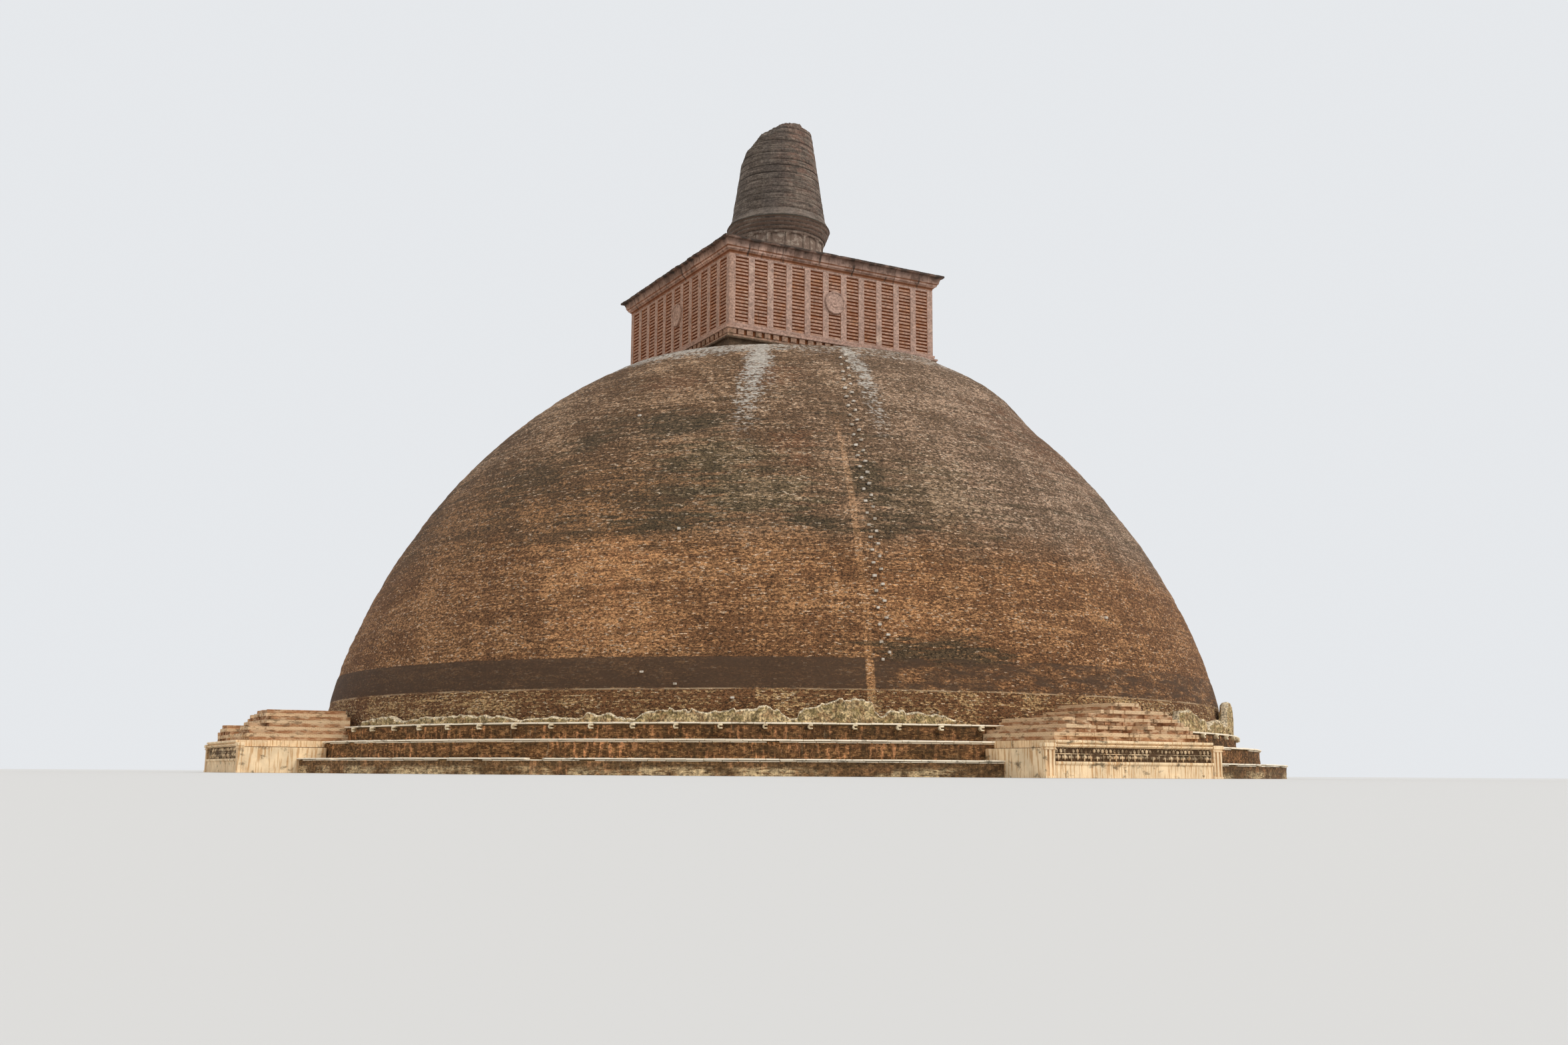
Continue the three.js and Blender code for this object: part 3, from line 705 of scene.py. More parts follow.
    def courses(self, round_wall, coarse=1.0):
        """Brick courses at the set brick size, times coarse."""
        sizes = bpy.context.scene.stupa_sizes
        settings = (sizes.brick_length, sizes.brick_course, sizes.brick_joint)
        return self.group(courses_group(), round_wall, *(value / M * coarse for value in settings))

    def finish(self, base, relief, depth, roughness=0.92):
        """Gives the material its base colour, and a bump whose depth is in metres of the monument."""
        bump = self.new("Bump", {"Strength": 1.0, "Distance": depth * M, "Height": relief})
        surface = self.tree.nodes["Principled BSDF"].inputs
        self.put(surface["Base Color"], base)
        self.put(surface["Roughness"], roughness)
        self.put(surface["Specular IOR Level"], 0.25)
        self.put(surface["Normal"], bump.outputs["Normal"])


def start_material(name):
    """The short calls for a new material's tree."""
    material = bpy.data.materials.new(name)
    material.use_nodes = True
    return Nodes(material.node_tree)


def shared(name, inputs, outputs, fill):
    """A shader node group with named number inputs and outputs, built once and found again by name."""
    tree = bpy.data.node_groups.get(name)
    if tree is not None:
        return tree
    tree = bpy.data.node_groups.new(name, "ShaderNodeTree")
    for title, value in inputs.items():
        socket = tree.interface.new_socket(name=title, in_out="INPUT", socket_type="NodeSocketFloat")
        socket.default_value = value
    for title, kind in outputs.items():
        tree.interface.new_socket(name=title, in_out="OUTPUT", socket_type="NodeSocket" + kind)
    nodes = Nodes(tree)
    entry = tree.nodes.new("NodeGroupInput").outputs
    leave = tree.nodes.new("NodeGroupOutput").inputs
    for title, value in fill(nodes, entry).items():
        nodes.put(leave[title], value)
    return tree


def place_group():
    """Where a point is on the monument, in its own metres: the point, its height, its bearing in
    degrees, the distance along the wall that it lies on, and how far out it lies on a square building.
    Round is 1 on round walls and 0 on the flat walls, where the distance along is x or y, whichever
    the wall follows. The distance along a round wall is taken on a reach that changes in steps."""

    def fill(n, entry):
        point = n.stretched(n.new("TexCoord").outputs["Object"], (1 / M,) * 3)
        x, y, z = n.new("SeparateXYZ", {0: point}).outputs
        reach = n.maths("SQRT", n.plus(n.times(x, x), n.times(y, y)))
        turn = n.maths("ARCTAN2", x, n.times(y, -1.0))
        arc = n.times(turn, n.maths("SNAP", reach, 0.37))
        nx, ny, _ = n.normal()
        flat = n.between(n.maths("GREATER_THAN", n.size(nx), n.size(ny)), x, y)
        return {
            "Point": point,
            "Height": z,
            "Bearing": n.maths("DEGREES", turn),
            "Along": n.between(entry["Round"], flat, arc),
            "Out": n.most(n.size(x), n.size(y)),
        }

    outputs = dict.fromkeys(("Height", "Bearing", "Along", "Out"), "Float")
    return shared("Monument Place", {"Round": 1.0}, {"Point": "Vector", **outputs}, fill)


def courses_group():
    """Brickwork in level courses: a random tone for each brick, the joints between them, and a relief
    that is high on the bricks and low in the joints. Sizes are in metres of the monument."""

    def fill(n, entry):
        wall = n.wall(entry["Round"])
        where = n.joined(wall["Along"], wall["Height"])
        wobble = n.new("TexNoise", {"Vector": wall["Point"], "Scale": 0.8, "Detail": 2.0}).outputs["Color"]
        where = n.moved(where, n.stretched(wobble, (0.08, 0.05, 0.0)))
        tone, joint = n.bricks(where, entry["Length"], entry["Course"], entry["Joint"], 0.2, 0.5)
        grain = n.noise(wall["Point"], 14.0, 2.0)
        face = n.plus(n.times(tone, 0.45), n.times(grain, 0.55))
        return {"Tone": tone, "Joint": joint, "Relief": n.times(face, n.minus(1.0, joint))}

    inputs = {"Round": 1.0, "Length": 0.36, "Course": 0.1, "Joint": 0.012}
    return shared("Brick Courses", inputs, dict.fromkeys(("Tone", "Joint", "Relief"), "Float"), fill)


def patches_group():
    """Soft patches of noise: Size is their length in metres, Level their height over their length, and
    Share how much of the wall they cover."""

    def fill(n, entry):
        size = n.over(1.0, entry["Size"])
        scale = n.joined(size, size, n.over(size, entry["Level"]))
        shift = n.joined(entry["Seed"], 3.7, entry["Seed"])
        where = n.moved(n.stretched(n.wall()["Point"], scale), shift)
        start = n.minus(0.62, n.times(entry["Share"], 0.3))
        return {"Mask": n.ramp(n.noise(where, 1.0, 5.0, 0.6), start, n.plus(start, entry["Soft"]))}

    inputs = {"Size": 3.0, "Level": 0.3, "Share": 0.5, "Soft": 0.12, "Seed": 0.0}
    return shared("Patches", inputs, {"Mask": "Float"}, fill)


def streaks_group():
    """Rain streaks: narrow noise across the wall, long down it."""

    def fill(n, entry):
        wall = n.wall(entry["Round"])
        across = n.over(wall["Along"], entry["Width"])
        down = n.over(wall["Height"], entry["Drop"])
        where = n.joined(across, down, entry["Seed"])
        start = n.minus(0.66, n.times(entry["Share"], 0.3))
        return {"Mask": n.ramp(n.noise(where, 1.0, 4.0, 0.6), start, n.plus(start, entry["Soft"]))}

    inputs = {"Round": 1.0, "Width": 0.5, "Drop": 4.0, "Share": 0.5, "Soft": 0.15, "Seed": 0.0}
    return shared("Rain Streaks", inputs, {"Mask": "Float"}, fill)


def stain_group():
    """One stain on a wall: full inside an ellipse of Wide by Tall about its Middle and Level, and gone
    a little outside it. Ragged moves its edge."""

    def fill(n, entry):
        across = n.over(n.minus(entry["Along"], entry["Middle"]), entry["Wide"])
        up = n.over(n.minus(entry["Height"], entry["Level"]), entry["Tall"])
        far = n.maths("SQRT", n.plus(n.times(across, across), n.times(up, up)))
        return {"Mask": n.ramp(n.plus(far, entry["Ragged"]), 1.4, 0.6)}

    inputs = dict.fromkeys(("Along", "Height", "Ragged", "Middle", "Level", "Wide", "Tall"), 0.0)
    return shared("Stain", inputs, {"Mask": "Float"}, fill)


def dome_stains(n, wall, ragged):
    """The strongest of the dome's stains at each point, as one mask for each kind."""
    masks = {}
    for kind, rows in DOME_STAINS.items():
        for *place_and_size, strength in rows:
            mask = n.group(stain_group(), wall["Bearing"], wall["Height"], ragged, *place_and_size)["Mask"]
            mask = n.times(mask, strength)
            masks[kind] = n.most(masks[kind], mask) if kind in masks else mask
    return masks


def lime_runs(n, wall):
    """Lime washed down from the chamber's foot: each run narrows and thins out as it falls."""
    total = None
    soft_edge = n.ragged(n.stretched(wall["Point"], (1.0, 1.0, 0.3)), 0.8, 3.4, 5.0)
    for top, top_half, bottom, bottom_half, lowest, strength in LIME_RUNS:
        fall = n.ramp(wall["Height"], lowest, SEAT, kind="LINEAR")
        off = n.size(n.plus(n.minus(wall["Bearing"], n.between(fall, bottom, top)), soft_edge))
        inside = n.ramp(n.over(off, n.between(fall, bottom_half, top_half)), 1.4, 0.2)
        run = n.times(inside, n.ramp(fall, 0.0, 1.0, 0.0, strength))
        total = run if total is None else n.most(total, run)
    return total


def dome_material():
    """Weathered brick. Each brick is dark or pale, and how many are pale depends on where they lie:
    orange low down, grey-brown above, mauve on the right, with a dark smooth band at the foot, olive
    smears, brighter repairs, and lime run down from the chamber."""
    n = start_material("Dome Brick")
    wall = n.wall()
    z, bearing, point = wall["Height"], wall["Bearing"], wall["Point"]
    brick = n.courses(1.0)
    tone = brick["Tone"]
    smear = n.patches(6.0, 0.07, 0.42, 0.16, 11.0)
    line = n.patches(3.6, 0.06, 0.8, 0.25, 2.0)
    long = n.patches(7.0, 0.024, 0.9, 0.3, 12.0)
    speck = n.patches(0.42, 0.55, 0.9, 0.3, 7.0)
    cloud = n.patches(1.5, 0.22, 0.9, 0.3, 2.0)
    wide_cloud = n.patches(9.0, 0.22, 0.73, 0.2, 4.0)
    streak = n.streaks(1.0, 2.4, 18.0, 1.0, 0.3, 5.0)
    grit = n.noise(n.stretched(point, (1.0, 1.0, 1.6)), 4.6, 3.0, 0.8)

    # A random tone for each big rebuilt stretch of the face, as from one season's work.
    season, _ = n.bricks(n.joined(wall["Along"], z), 7.0, 2.6, 0.0, 0.1, offset=0.37)

    kinds = dome_stains(n, wall, n.ragged(n.stretched(point, (0.3, 0.3, 2.6)), 1.0, 5.0, 6.0))
    bright, green = kinds["bright"], kinds["green"]
    middle = n.times(n.ramp(z, 14.0, 24.0, 0.1, 0.6), n.ramp(z, 33.0, 40.0, 1.0, 0.5))
    olive = n.most(kinds["olive"], n.times(smear, middle))
    strip = n.ramp(n.size(n.minus(bearing, STRIP_BEARING)), STRIP_HALF + 0.12, STRIP_HALF - 0.12)
    strip = n.times(strip, n.ramp(z, 34.0, 29.0))
    strip = n.times(strip, n.most(n.ramp(z, 10.0, 9.0), n.ramp(z, 17.0, 20.0, 0.45, 0.7)))

    # Dark and pale bricks of each zone.
    left = n.ramp(n.size(n.plus(bearing, 50.0)), 25.0, 12.0)
    zone = n.plus(z, n.ragged(point, 0.25, 7.0, 5.0))
    zone = n.between(left, n.ramp(zone, 16.5, 23.0), n.ramp(zone, 18.6, 20.8))
    right = n.ramp(n.maths("SINE", n.radians(n.plus(bearing, 20.0))), -0.55, 0.6)
    ground = n.mix(zone, "orange_brick", n.mix(right, "grey_brick", "mauve_brick"))
    upper = n.mix(n.ramp(z, 24.0, 33.0), paint("orange_pale", 0.82), "grey_pale")
    pale = n.mix(zone, "orange_pale", n.mix(right, upper, "mauve_pale"))
    ground = n.coats(
        ground,
        (bright, 1.0, paint("orange_brick", 1.9)),
        (kinds["russet"], 1.0, "dome_russet"),
        (green, 1.0, "dome_green"),
        (olive, 1.0, "damp_brick"),
    )
    pale = n.coats(
        pale,
        (bright, 1.0, paint("orange_pale", 1.28)),
        (green, 1.0, "dome_green_pale"),
        (olive, 0.7, "damp_brick"),
        (n.ramp(z, BAND_LOW + 0.2, BAND_LOW - 0.2), 1.0, "dome_foot"),
    )

    # How many bricks are pale, and the flecks, grit and joints over them.
    terms = ((0.16, cloud), (0.42, speck), (0.25, wide_cloud), (0.26, line), (0.34, long), (0.28, streak))
    density = n.minus(n.weighted(0.34, *terms, (0.26, season)), n.times(olive, 0.22))
    density = n.plus(n.plus(density, n.times(bright, 0.2)), n.times(strip, 0.5))
    base = n.mix(n.ramp(n.plus(tone, density), 0.72, 1.22), ground, pale)
    flecks = n.ramp(n.plus(tone, n.times(density, 0.12)), 0.96, 1.03)
    base = n.coats(base, (flecks, 0.6, "dome_fleck"), (strip, 0.27, paint("orange_pale", 1.2)))
    base = n.shade(base, n.ramp(grit, 0.34, 0.66, 0.22, 1.74))
    base = n.coats(base, (brick["Joint"], 0.4, paint("damp_brick", 0.6)))

    # The smooth band at the foot, and the pale lip under it.
    level = n.plus(z, n.ragged(point, 1.5, 0.35))
    dark = n.times(n.band(level, BAND_LOW, BAND_HIGH, 0.06), n.minus(1.0, strip))
    worn = n.times(n.ramp(bearing, -19.6, -15.0, 0.14, 0.95), n.patches(2.2, 0.25, 0.85, 0.3, 21.0))
    scraped = n.times(n.patches(0.7, 0.08, 0.12, 0.1, 23.0), 0.3)
    dark = n.times(dark, n.minus(1.0, n.most(worn, scraped)))
    damp = n.coats("dark_band", (streak, 0.4, paint("dark_band", 0.72)))
    lip = n.times(n.band(z, BAND_LOW - 0.12, BAND_LOW, 0.04), n.ramp(line, 0.3, 0.8, 0.1, 0.7))
    base = n.coats(base, (dark, 0.94, damp), (lip, 1.0, "dome_lip"))

    # Lime, in runs and round the chamber's foot.
    crest = n.ramp(n.plus(z, n.ragged(point, 0.7, 3.0, 5.0)), 40.6, 42.4)
    runs = n.most(lime_runs(n, wall), n.times(crest, n.ramp(bearing, -24.0, -34.0, 0.4, 0.75)))
    lime = n.weighted(runs, (0.75, speck), (0.3, tone), (0.35, line), (0.5, grit))
    lime = n.times(n.ramp(lime, 0.3, 0.95), n.ramp(runs, 0.05, 0.4, 0.0, 0.9))
    base = n.mix(lime, base, n.shade(paint("lime")[:3], n.ramp(grit, 0.3, 0.7, 0.6, 1.2)))

    relief = n.plus(brick["Relief"], n.times(speck, 0.8))
    n.finish(base, n.times(relief, n.minus(1.0, n.times(dark, 0.7))), 0.06)


def terrace_material():
    """Dark red-brown brick with black runs, groups of clean upright patches, lime dripped from the
    copings, pale worn rows on the lowest face, and dust on the treads."""
    n = start_material("Terrace Brick")
    wall = n.wall()
    z, point = wall["Height"], wall["Point"]
    brick = n.courses(1.0)
    clean = n.times(n.streaks(1.0, 0.42, 1.7, 0.5, 0.1, 4.0), n.patches(9.0, 1.0, 0.5, 0.08, 3.0))
    clean = n.most(clean, n.times(n.patches(2.6, 0.3, 0.3, 0.16, 5.0), 0.5))
    run = n.most(n.streaks(1.0, 0.6, 3.0, 0.42, 0.1, 1.0), n.patches(2.4, 0.3, 0.5, 0.2, 27.0))
    drip = n.streaks(1.0, 0.3, 2.5, 0.14, 0.08, 9.0)
    cloud = n.patches(1.6, 0.15, 0.8, 0.3, 6.0)
    speck = n.patches(0.35, 0.6, 0.9, 0.3, 7.0)
    lowest = n.ramp(z, LOWER_TOP + 0.05, LOWER_TOP - 0.05)
    worn = n.times(n.patches(0.8, 0.12, 0.7, 0.08, 28.0), n.patches(4.0, 0.7, 0.62, 0.14, 29.0))
    worn = n.times(n.times(worn, lowest), n.ramp(z, LOWER_TOP - 0.5, LOWER_TOP - 0.9))
    pale = n.ramp(n.plus(brick["Tone"], n.weighted(0.4, (0.28, cloud), (0.4, speck))), 0.84, 1.12)
    fresh = n.mix(pale, paint("terrace_light", 0.75), paint("terrace_light", 1.1))
    base = n.coats(
        n.mix(pale, paint("terrace_brick", 0.58), "terrace_pale"),
        (clean, 1.0, fresh),
        (run, 0.66, "terrace_run"),
        (drip, 0.3, "terrace_drip"),
        (lowest, 0.4, "terrace_low"),
        (worn, 0.85, "terrace_worn"),
    )
    base = n.mottled(base, point, 3.5, 0.42, 1.62)
    to_left = n.ramp(wall["Bearing"], -12.0, -46.0, 1.12, 1.6)
    base = n.shade(base, n.times(to_left, n.between(lowest, 1.0, 0.8)))
    base = n.shade(base, n.ramp(z, MIDDLE_TOP - 0.05, MIDDLE_TOP + 0.05, 1.0, 0.88))
    tread = n.ramp(n.normal()[2], 0.5, 0.9)
    dust = n.mix(n.noise(point, 0.6, 5.0), "dust_pale", "dust_dark")
    base = n.coats(base, (brick["Joint"], 0.5, paint("terrace_brick", 0.3)), (tread, 1.0, dust))
    n.finish(base, brick["Relief"], 0.04)


def stone_material(name, stain, dirt, round_wall, shade_from=None, bleach=0.0):
    """Pale limestone with ochre runs, grey growth and a pitted face. With shade_from, the carving is
    painted dark brown in its hollows, which lie less far out than that: painted shade."""
    n = start_material(name)
    wall = n.wall(round_wall)
    ochre = n.streaks(round_wall, 0.16, 2.6, stain, 0.1, 6.0)
    growth = n.patches(0.9, 0.7, dirt, 0.14, 8.0)
    tint = n.ramp(n.noise(wall["Point"], 0.7, 3.0), 0.35, 0.65)
    base = n.mix(tint, "pale_stone", paint("pale_stone", 0.82))
    if bleach:
        base = n.mix(bleach, base, "stone_bleached")
    base = n.coats(base, (ochre, 0.7, "ochre"), (growth, 0.75, paint("damp_brick", 1.3)))
    pits = n.noise(wall["Point"], 9.0, 5.0, 0.7)
    # Painted shade: the carving's hollows are painted dark brown.
    if shade_from:
        deep = n.plus(wall["Out"], n.times(pits, 0.06))
        base = n.mix(n.ramp(deep, shade_from + 0.1, shade_from), base, "stone_hollow_shade")
    n.finish(base, pits, 0.03, 0.85)


def ruin_material():
    """Broken brickwork of the frontispieces: courses of orange brick between pale projecting ledges,
    washed with lime and streaked with dirt."""
    n = start_material("Ruined Brick")
    wall = n.wall(0.0)
    brick = n.courses(0.0, 1.2)
    level = n.plus(wall["Height"], n.ragged(wall["Point"], 1.2, 0.12))
    level = n.maths("FRACT", n.over(n.minus(level, CORNICE_TOP), 2 * CORE_COURSE))
    base = n.coats(
        n.mix(brick["Tone"], "core_dark", "core_pale"),
        (n.band(level, 0.5, 0.97, 0.05), 1.0, "core_ledge"),
        (brick["Joint"], 0.5, "core_joint"),
        (n.patches(1.1, 0.35, 0.5, 0.12, 14.0), 0.6, "core_wash"),
        (n.patches(0.8, 0.4, 0.3, 0.12, 15.0), 0.7, "core_dirt"),
    )
    n.finish(base, brick["Relief"], 0.06)


def lime_material():
    """Old plaster on rubble: cream along the broken top, lime with a painted highlight, olive and
    orange-brown on the faces, and painted shade in the hollows of its bumps.
    """
    n = start_material("Old Lime Masonry")
    point = n.wall()["Point"]
    # Cream along the top: lime plaster and a painted highlight.
    crown = n.ramp(n.plus(n.mark(), n.ragged(point, 2.0, 1.3, 5.0)), 0.6, 0.95)
    base = n.coats(
        n.mix(n.patches(0.8, 0.8, 0.6, 0.12, 18.0), "masonry_cream", "masonry_olive"),
        (n.patches(0.7, 0.9, 0.42, 0.1, 19.0), 0.75, "masonry_rust"),
        (n.streaks(1.0, 0.3, 1.6, 0.4, 0.08, 20.0), 0.6, "masonry_run"),
        (crown, 1.0, "masonry_crown"),
    )
    relief = n.noise(point, 3.0, 6.0, 0.8)
    # Darker where the bump is low: painted shade in its hollows.
    base = n.shade(base, n.ramp(relief, 0.3, 0.62, 0.35, 1.25))
    base = n.shade(base, n.ramp(n.noise(point, 6.0, 2.0, 0.7), 0.34, 0.66, 0.62, 1.34))
    n.finish(base, relief, 0.2)


def warm_shade_side(n, wall, base):
    """A colour turned a little towards orange on the chamber's left side: painted warm shade on the side away
    from the sun.
    """
    left = n.ramp(n.maths("SINE", n.radians(wall["Bearing"])), -0.66, -0.74)
    return n.mix(left, base, "warm_shade_side", "MULTIPLY")


def plaster_material(name, main, second, stain, seed, depth=0.02, coarse=0.0, shade_from=None, shade_share=1.0):
    """Plastered brick of the chamber: two tones, black rain runs, pale bleached patches, and faint
    courses under it. With shade_from, what lies less far out, the sides of posts, the undersides of
    rails and the gaps between teeth, takes the dark orange shadow brick as painted shade, its brightness
    times shade_share."""
    n = start_material(name)
    wall = n.wall(0.0)
    run = n.streaks(0.0, 0.3, 3.5, stain, 0.12, seed)
    where = n.patches(5.0, 1.0, 0.35, 0.2, seed + 3.0)
    patch = n.patches(1.4, 0.8, 0.5, 0.25, seed)
    bleach = n.patches(2.2, 1.2, 0.16, 0.16, seed + 6.0)
    brick = n.courses(0.0)
    base = n.shade(n.mix(patch, main, second), n.ramp(brick["Tone"], 0.0, 1.0, 0.84, 1.16))
    base = n.coats(base, (bleach, 0.4, "plaster_bleached"))
    if coarse:
        base = n.coats(base, (brick["Joint"], coarse, scaled(second, 0.5)))
    grain = n.noise(wall["Point"], 7.0, 5.0, 0.65)
    base = n.mottled(base, wall["Point"], 4.0, 0.66, 1.28)
    # Painted shade: deeper parts, such as post sides, rail undersides and tooth gaps, take the shadow brick's
    # colour.
    if shade_from:
        deep = n.plus(wall["Out"], n.times(grain, 0.04))
        base = n.mix(n.ramp(deep, shade_from + 0.05, shade_from), base, paint("shadow_brick", shade_share))
    base = n.mix(n.times(run, n.ramp(where, 0.0, 1.0, 0.25, 0.8)), base, "soot")
    n.finish(warm_shade_side(n, wall, base), n.plus(grain, n.times(brick["Relief"], coarse)), depth)


def cornice_material():
    """Mauve plaster in blocks with thin joints, a dark orange line of painted shade under it and another
    at the slab's foot, black along the top edge and in runs at some of the joints."""
    n = start_material("Cornice Plaster")
    wall = n.wall(0.0)
    z, point = wall["Height"], wall["Point"]
    where = n.joined(wall["Along"], 0.5)
    tone, joint = n.bricks(where, CORNICE_BLOCK, 1.0, 0.035, 0.3)
    _, beside = n.bricks(where, 2 * CORNICE_BLOCK, 1.0, 0.2, 1.0)
    base = n.mix(n.patches(1.2, 0.9, 0.5, 0.2, 5.0), paint("chamber", 1.2), "cornice_patch")
    base = n.coats(base, (n.patches(0.8, 1.1, 0.4, 0.12, 15.0), 0.6, "cornice_blot"))
    base = n.shade(base, n.ramp(tone, 0.0, 1.0, 0.78, 1.16))
    # Painted shade: a dark orange line in the cornice's step and a thin one at the slab's foot.
    under = n.most(n.band(z, LINE_FOOT, LINE_TOP, 0.05), n.band(z, SLAB_FOOT - 0.04, SLAB_FOOT + 0.05, 0.03))
    stain = n.times(beside, n.ramp(n.noise(point, 0.8, 4.0), 0.4, 0.6))
    stain = n.most(stain, n.times(n.streaks(0.0, 0.4, 9.0, 0.3, 0.08, 2.0), 0.7))
    level = n.plus(z, n.ragged(n.stretched(point, (1.0, 1.0, 0.4)), 0.9, 1.3, 5.0))
    base = n.coats(
        base,
        (joint, 0.6, "cornice_joint"),
        (under, 0.85, paint("shadow_brick", 0.55)),
        (stain, 0.9, "soot"),
        (n.ramp(level, ROOF - 1.15, ROOF - 0.2), 0.7, "cornice_dark"),
        (n.ramp(level, ROOF - 0.36, ROOF - 0.1), 0.85, "soot"),
    )
    n.finish(warm_shade_side(n, wall, base), n.noise(point, 5.0, 5.0, 0.65), 0.04)


def drum_material():
    """Beige plaster with pale patches, and painted shade in the grooves by the posts, at the arch tops and
    under the corbels.
    """
    n = start_material("Drum Plaster")
    wall = n.wall()
    base = n.coats(
        n.mix(n.patches(0.9, 0.8, 0.42, 0.14, 25.0), "drum", "drum_pale"),
        (n.patches(0.7, 0.9, 0.3, 0.12, 26.0), 0.5, "drum_blot"),
        (n.streaks(1.0, 0.3, 5.0, 0.42, 0.1, 3.0), 0.6, "drum_run"),
        # Painted shade in the grooves beside the posts and along the arch tops, from the mesh's mark.
        (n.ramp(n.mark(), 0.2, 0.8), 0.9, "drum_groove_shade"),
        # Painted shade: the drum darker towards its head, under the corbels.
        (n.ramp(wall["Height"], CORBEL_FOOT - 0.35, CORBEL_FOOT + 0.1), 0.6, "drum_head_shade"),
    )
    grain = n.noise(wall["Point"], 6.0, 5.0, 0.65)
    n.finish(base, n.plus(grain, n.times(n.courses(1.0)["Relief"], 0.6)), 0.04)


def spire_material():
    """Grey-brown ringed brick, redder on one side towards the top, with painted shade in the joints
    between the rings, a pale flare at the foot and a dark band round its rim. The mesh carries how deep
    in a joint each point lies."""
    n = start_material("Spire Brick")
    wall = n.wall()
    z, bearing, point = wall["Height"], wall["Bearing"], wall["Point"]
    brick = n.courses(1.0)
    red = n.ramp(n.maths("COSINE", n.radians(n.minus(bearing, RED_BEARING))), 0.35, 0.95)
    red = n.times(red, n.times(n.patches(1.2, 0.35, 0.75, 0.2, 31.0), n.ramp(z, 62.0, 71.0, 0.3, 0.9)))
    # Darker on the side that faces bearing -34: partly soot, partly painted shade.
    soot_and_shade = n.ramp(n.noise(n.stretched(point, (1.0, 1.0, 0.4)), 0.6, 4.0), 0.35, 0.6)
    soot_and_shade = n.times(n.ramp(n.size(n.plus(bearing, 34.0)), 30.0, 8.0), soot_and_shade)
    base = n.coats(
        "spire",
        (n.patches(3.0, 0.12, 0.62, 0.16, 32.0), 0.75, paint("spire", 0.55)),
        (red, 0.75, "spire_red"),
        (n.patches(2.4, 0.09, 0.55, 0.16, 33.0), 0.5, "spire_pale"),
        (n.patches(1.3, 0.8, 0.42, 0.14, 34.0), 0.5, "spire_blot"),
        (soot_and_shade, 0.45, "spire_soot_and_shade"),
    )
    base = n.shade(base, n.ramp(brick["Tone"], 0.0, 1.0, 0.82, 1.22))
    base = n.mottled(base, point, 4.0, 0.62, 1.42)
    flare = n.band(z, SPIRE_FOOT + 0.2, SPIRE_FOOT + 1.1, 0.08)
    flare = n.times(flare, n.ramp(n.noise(point, 0.5, 4.0), 0.35, 0.65, 0.05, 0.6))
    # A dark band round the rim's edge.
    rim_dark = n.band(n.plus(z, n.ragged(point, 1.4, 0.3)), SPIRE_FOOT - 0.12, SPIRE_FOOT + 0.16, 0.08)
    fillets = n.maths("FRACT", n.times(n.minus(z, CORBEL_FOOT), CORBELS / (SPIRE_FOOT - CORBEL_FOOT)))
    fillets = n.times(n.band(fillets, 0.15, 0.8, 0.1), n.ramp(z, SPIRE_FOOT + 0.05, SPIRE_FOOT - 0.05))
    base = n.coats(
        base,
        (brick["Joint"], 0.3, "spire_joint"),
        (flare, 0.85, "spire_flare"),
        (rim_dark, 0.85, "spire_rim_dark"),
        (fillets, 0.55, "spire_fillet"),
        # Painted shade in the ring joints, from the mesh's mark.
        (n.ramp(n.mark(), 0.1, 0.7), 0.7, "spire_groove_shade"),
    )
    n.finish(base, brick["Relief"], 0.05)


def white_material(name, clean, dirty):
    """Small pale stones, some of them dirtier."""
    n = start_material(name)
    grain = n.noise(n.wall()["Point"], 1.6, 5.0)
    n.finish(n.mix(n.ramp(grain, 0.35, 0.65), clean, dirty), grain, 0.02)


class STUPA_OT_materials(bpy.types.Operator):
    """Finishes of brick, plaster and stone"""

    bl_idname = "stupa.materials"
    bl_label = "Materials"

    def execute(self, context):
        dome_material()
        terrace_material()
        stone_material("Coping Stone", 0.1, 0.18, 1.0, bleach=0.85)
        stone_material("Carved Stone", 0.55, 0.2, 0.0)
        stone_material("Frieze Stone", 0.5, 0.5, 0.0, FACE - 0.27)
        white_material("White Stone", "spout", "spout_dirty")
        white_material("Step Stone", "step", "step_dirty")
        ruin_material()
        lime_material()
        shadow = paint("shadow_brick")
        # Posts, rails and teeth are painted with shadow brick where they lie deeper than shade_from, as
        # painted shade.
        plaster_material("Chamber Plaster", "chamber", paint("chamber", 0.8), 0.3, 2.0, shade_from=12.65)
        plaster_material("Rail Brick", "rail", paint("rail_dark"), 0.25, 3.0, 0.03, 0.4, 12.59, 0.8)
        plaster_material("Shadow Brick", shadow, scaled(shadow, 0.6), 0.3, 4.0, 0.03, 0.5)
        plaster_material("Tooth Plaster", "tooth", paint("tooth_dark"), 0.4, 5.0, 0.03, 0.3, 12.9, 0.4)
        # The plinth's dark olive colour is partly painted shade beneath the ledge.
        plaster_material("Plinth Brick", "plinth", paint("plinth_dark"), 0.35, 6.0, 0.03, 0.5)
        cornice_material()
        drum_material()
        spire_material()
        return {"FINISHED"}


# Pieces


def terrace_piece(node, radius, foot, top, seed):
    """One terrace: a line up the face and in over the tread, turned about the axis into a closed drum.
    The face is bulged and eroded by noise."""
    face = radius - 0.16
    rows, tread = 9, 6
    reach = np.concatenate([np.full(rows, face), np.linspace(face - 0.3, DOME_R - 1.0, tread)])
    height = np.concatenate([np.linspace(foot, top - 0.24, rows), np.full(tread, top - 0.12)])

    def shift(points):
        mask = (np.abs(np.hypot(points[..., 0], points[..., 1]) - face) < 0.05) & (points[..., 2] > foot)
        return mask * (0.05 * rough(points, (1.6, 1.6, 0.5), seed) - 0.03)

    shape = Shape()
    shape.lathe(reach, height, 720, shift)
    place(node + "_brickwork", shape, "Terrace Brick", (node,), 30.0)


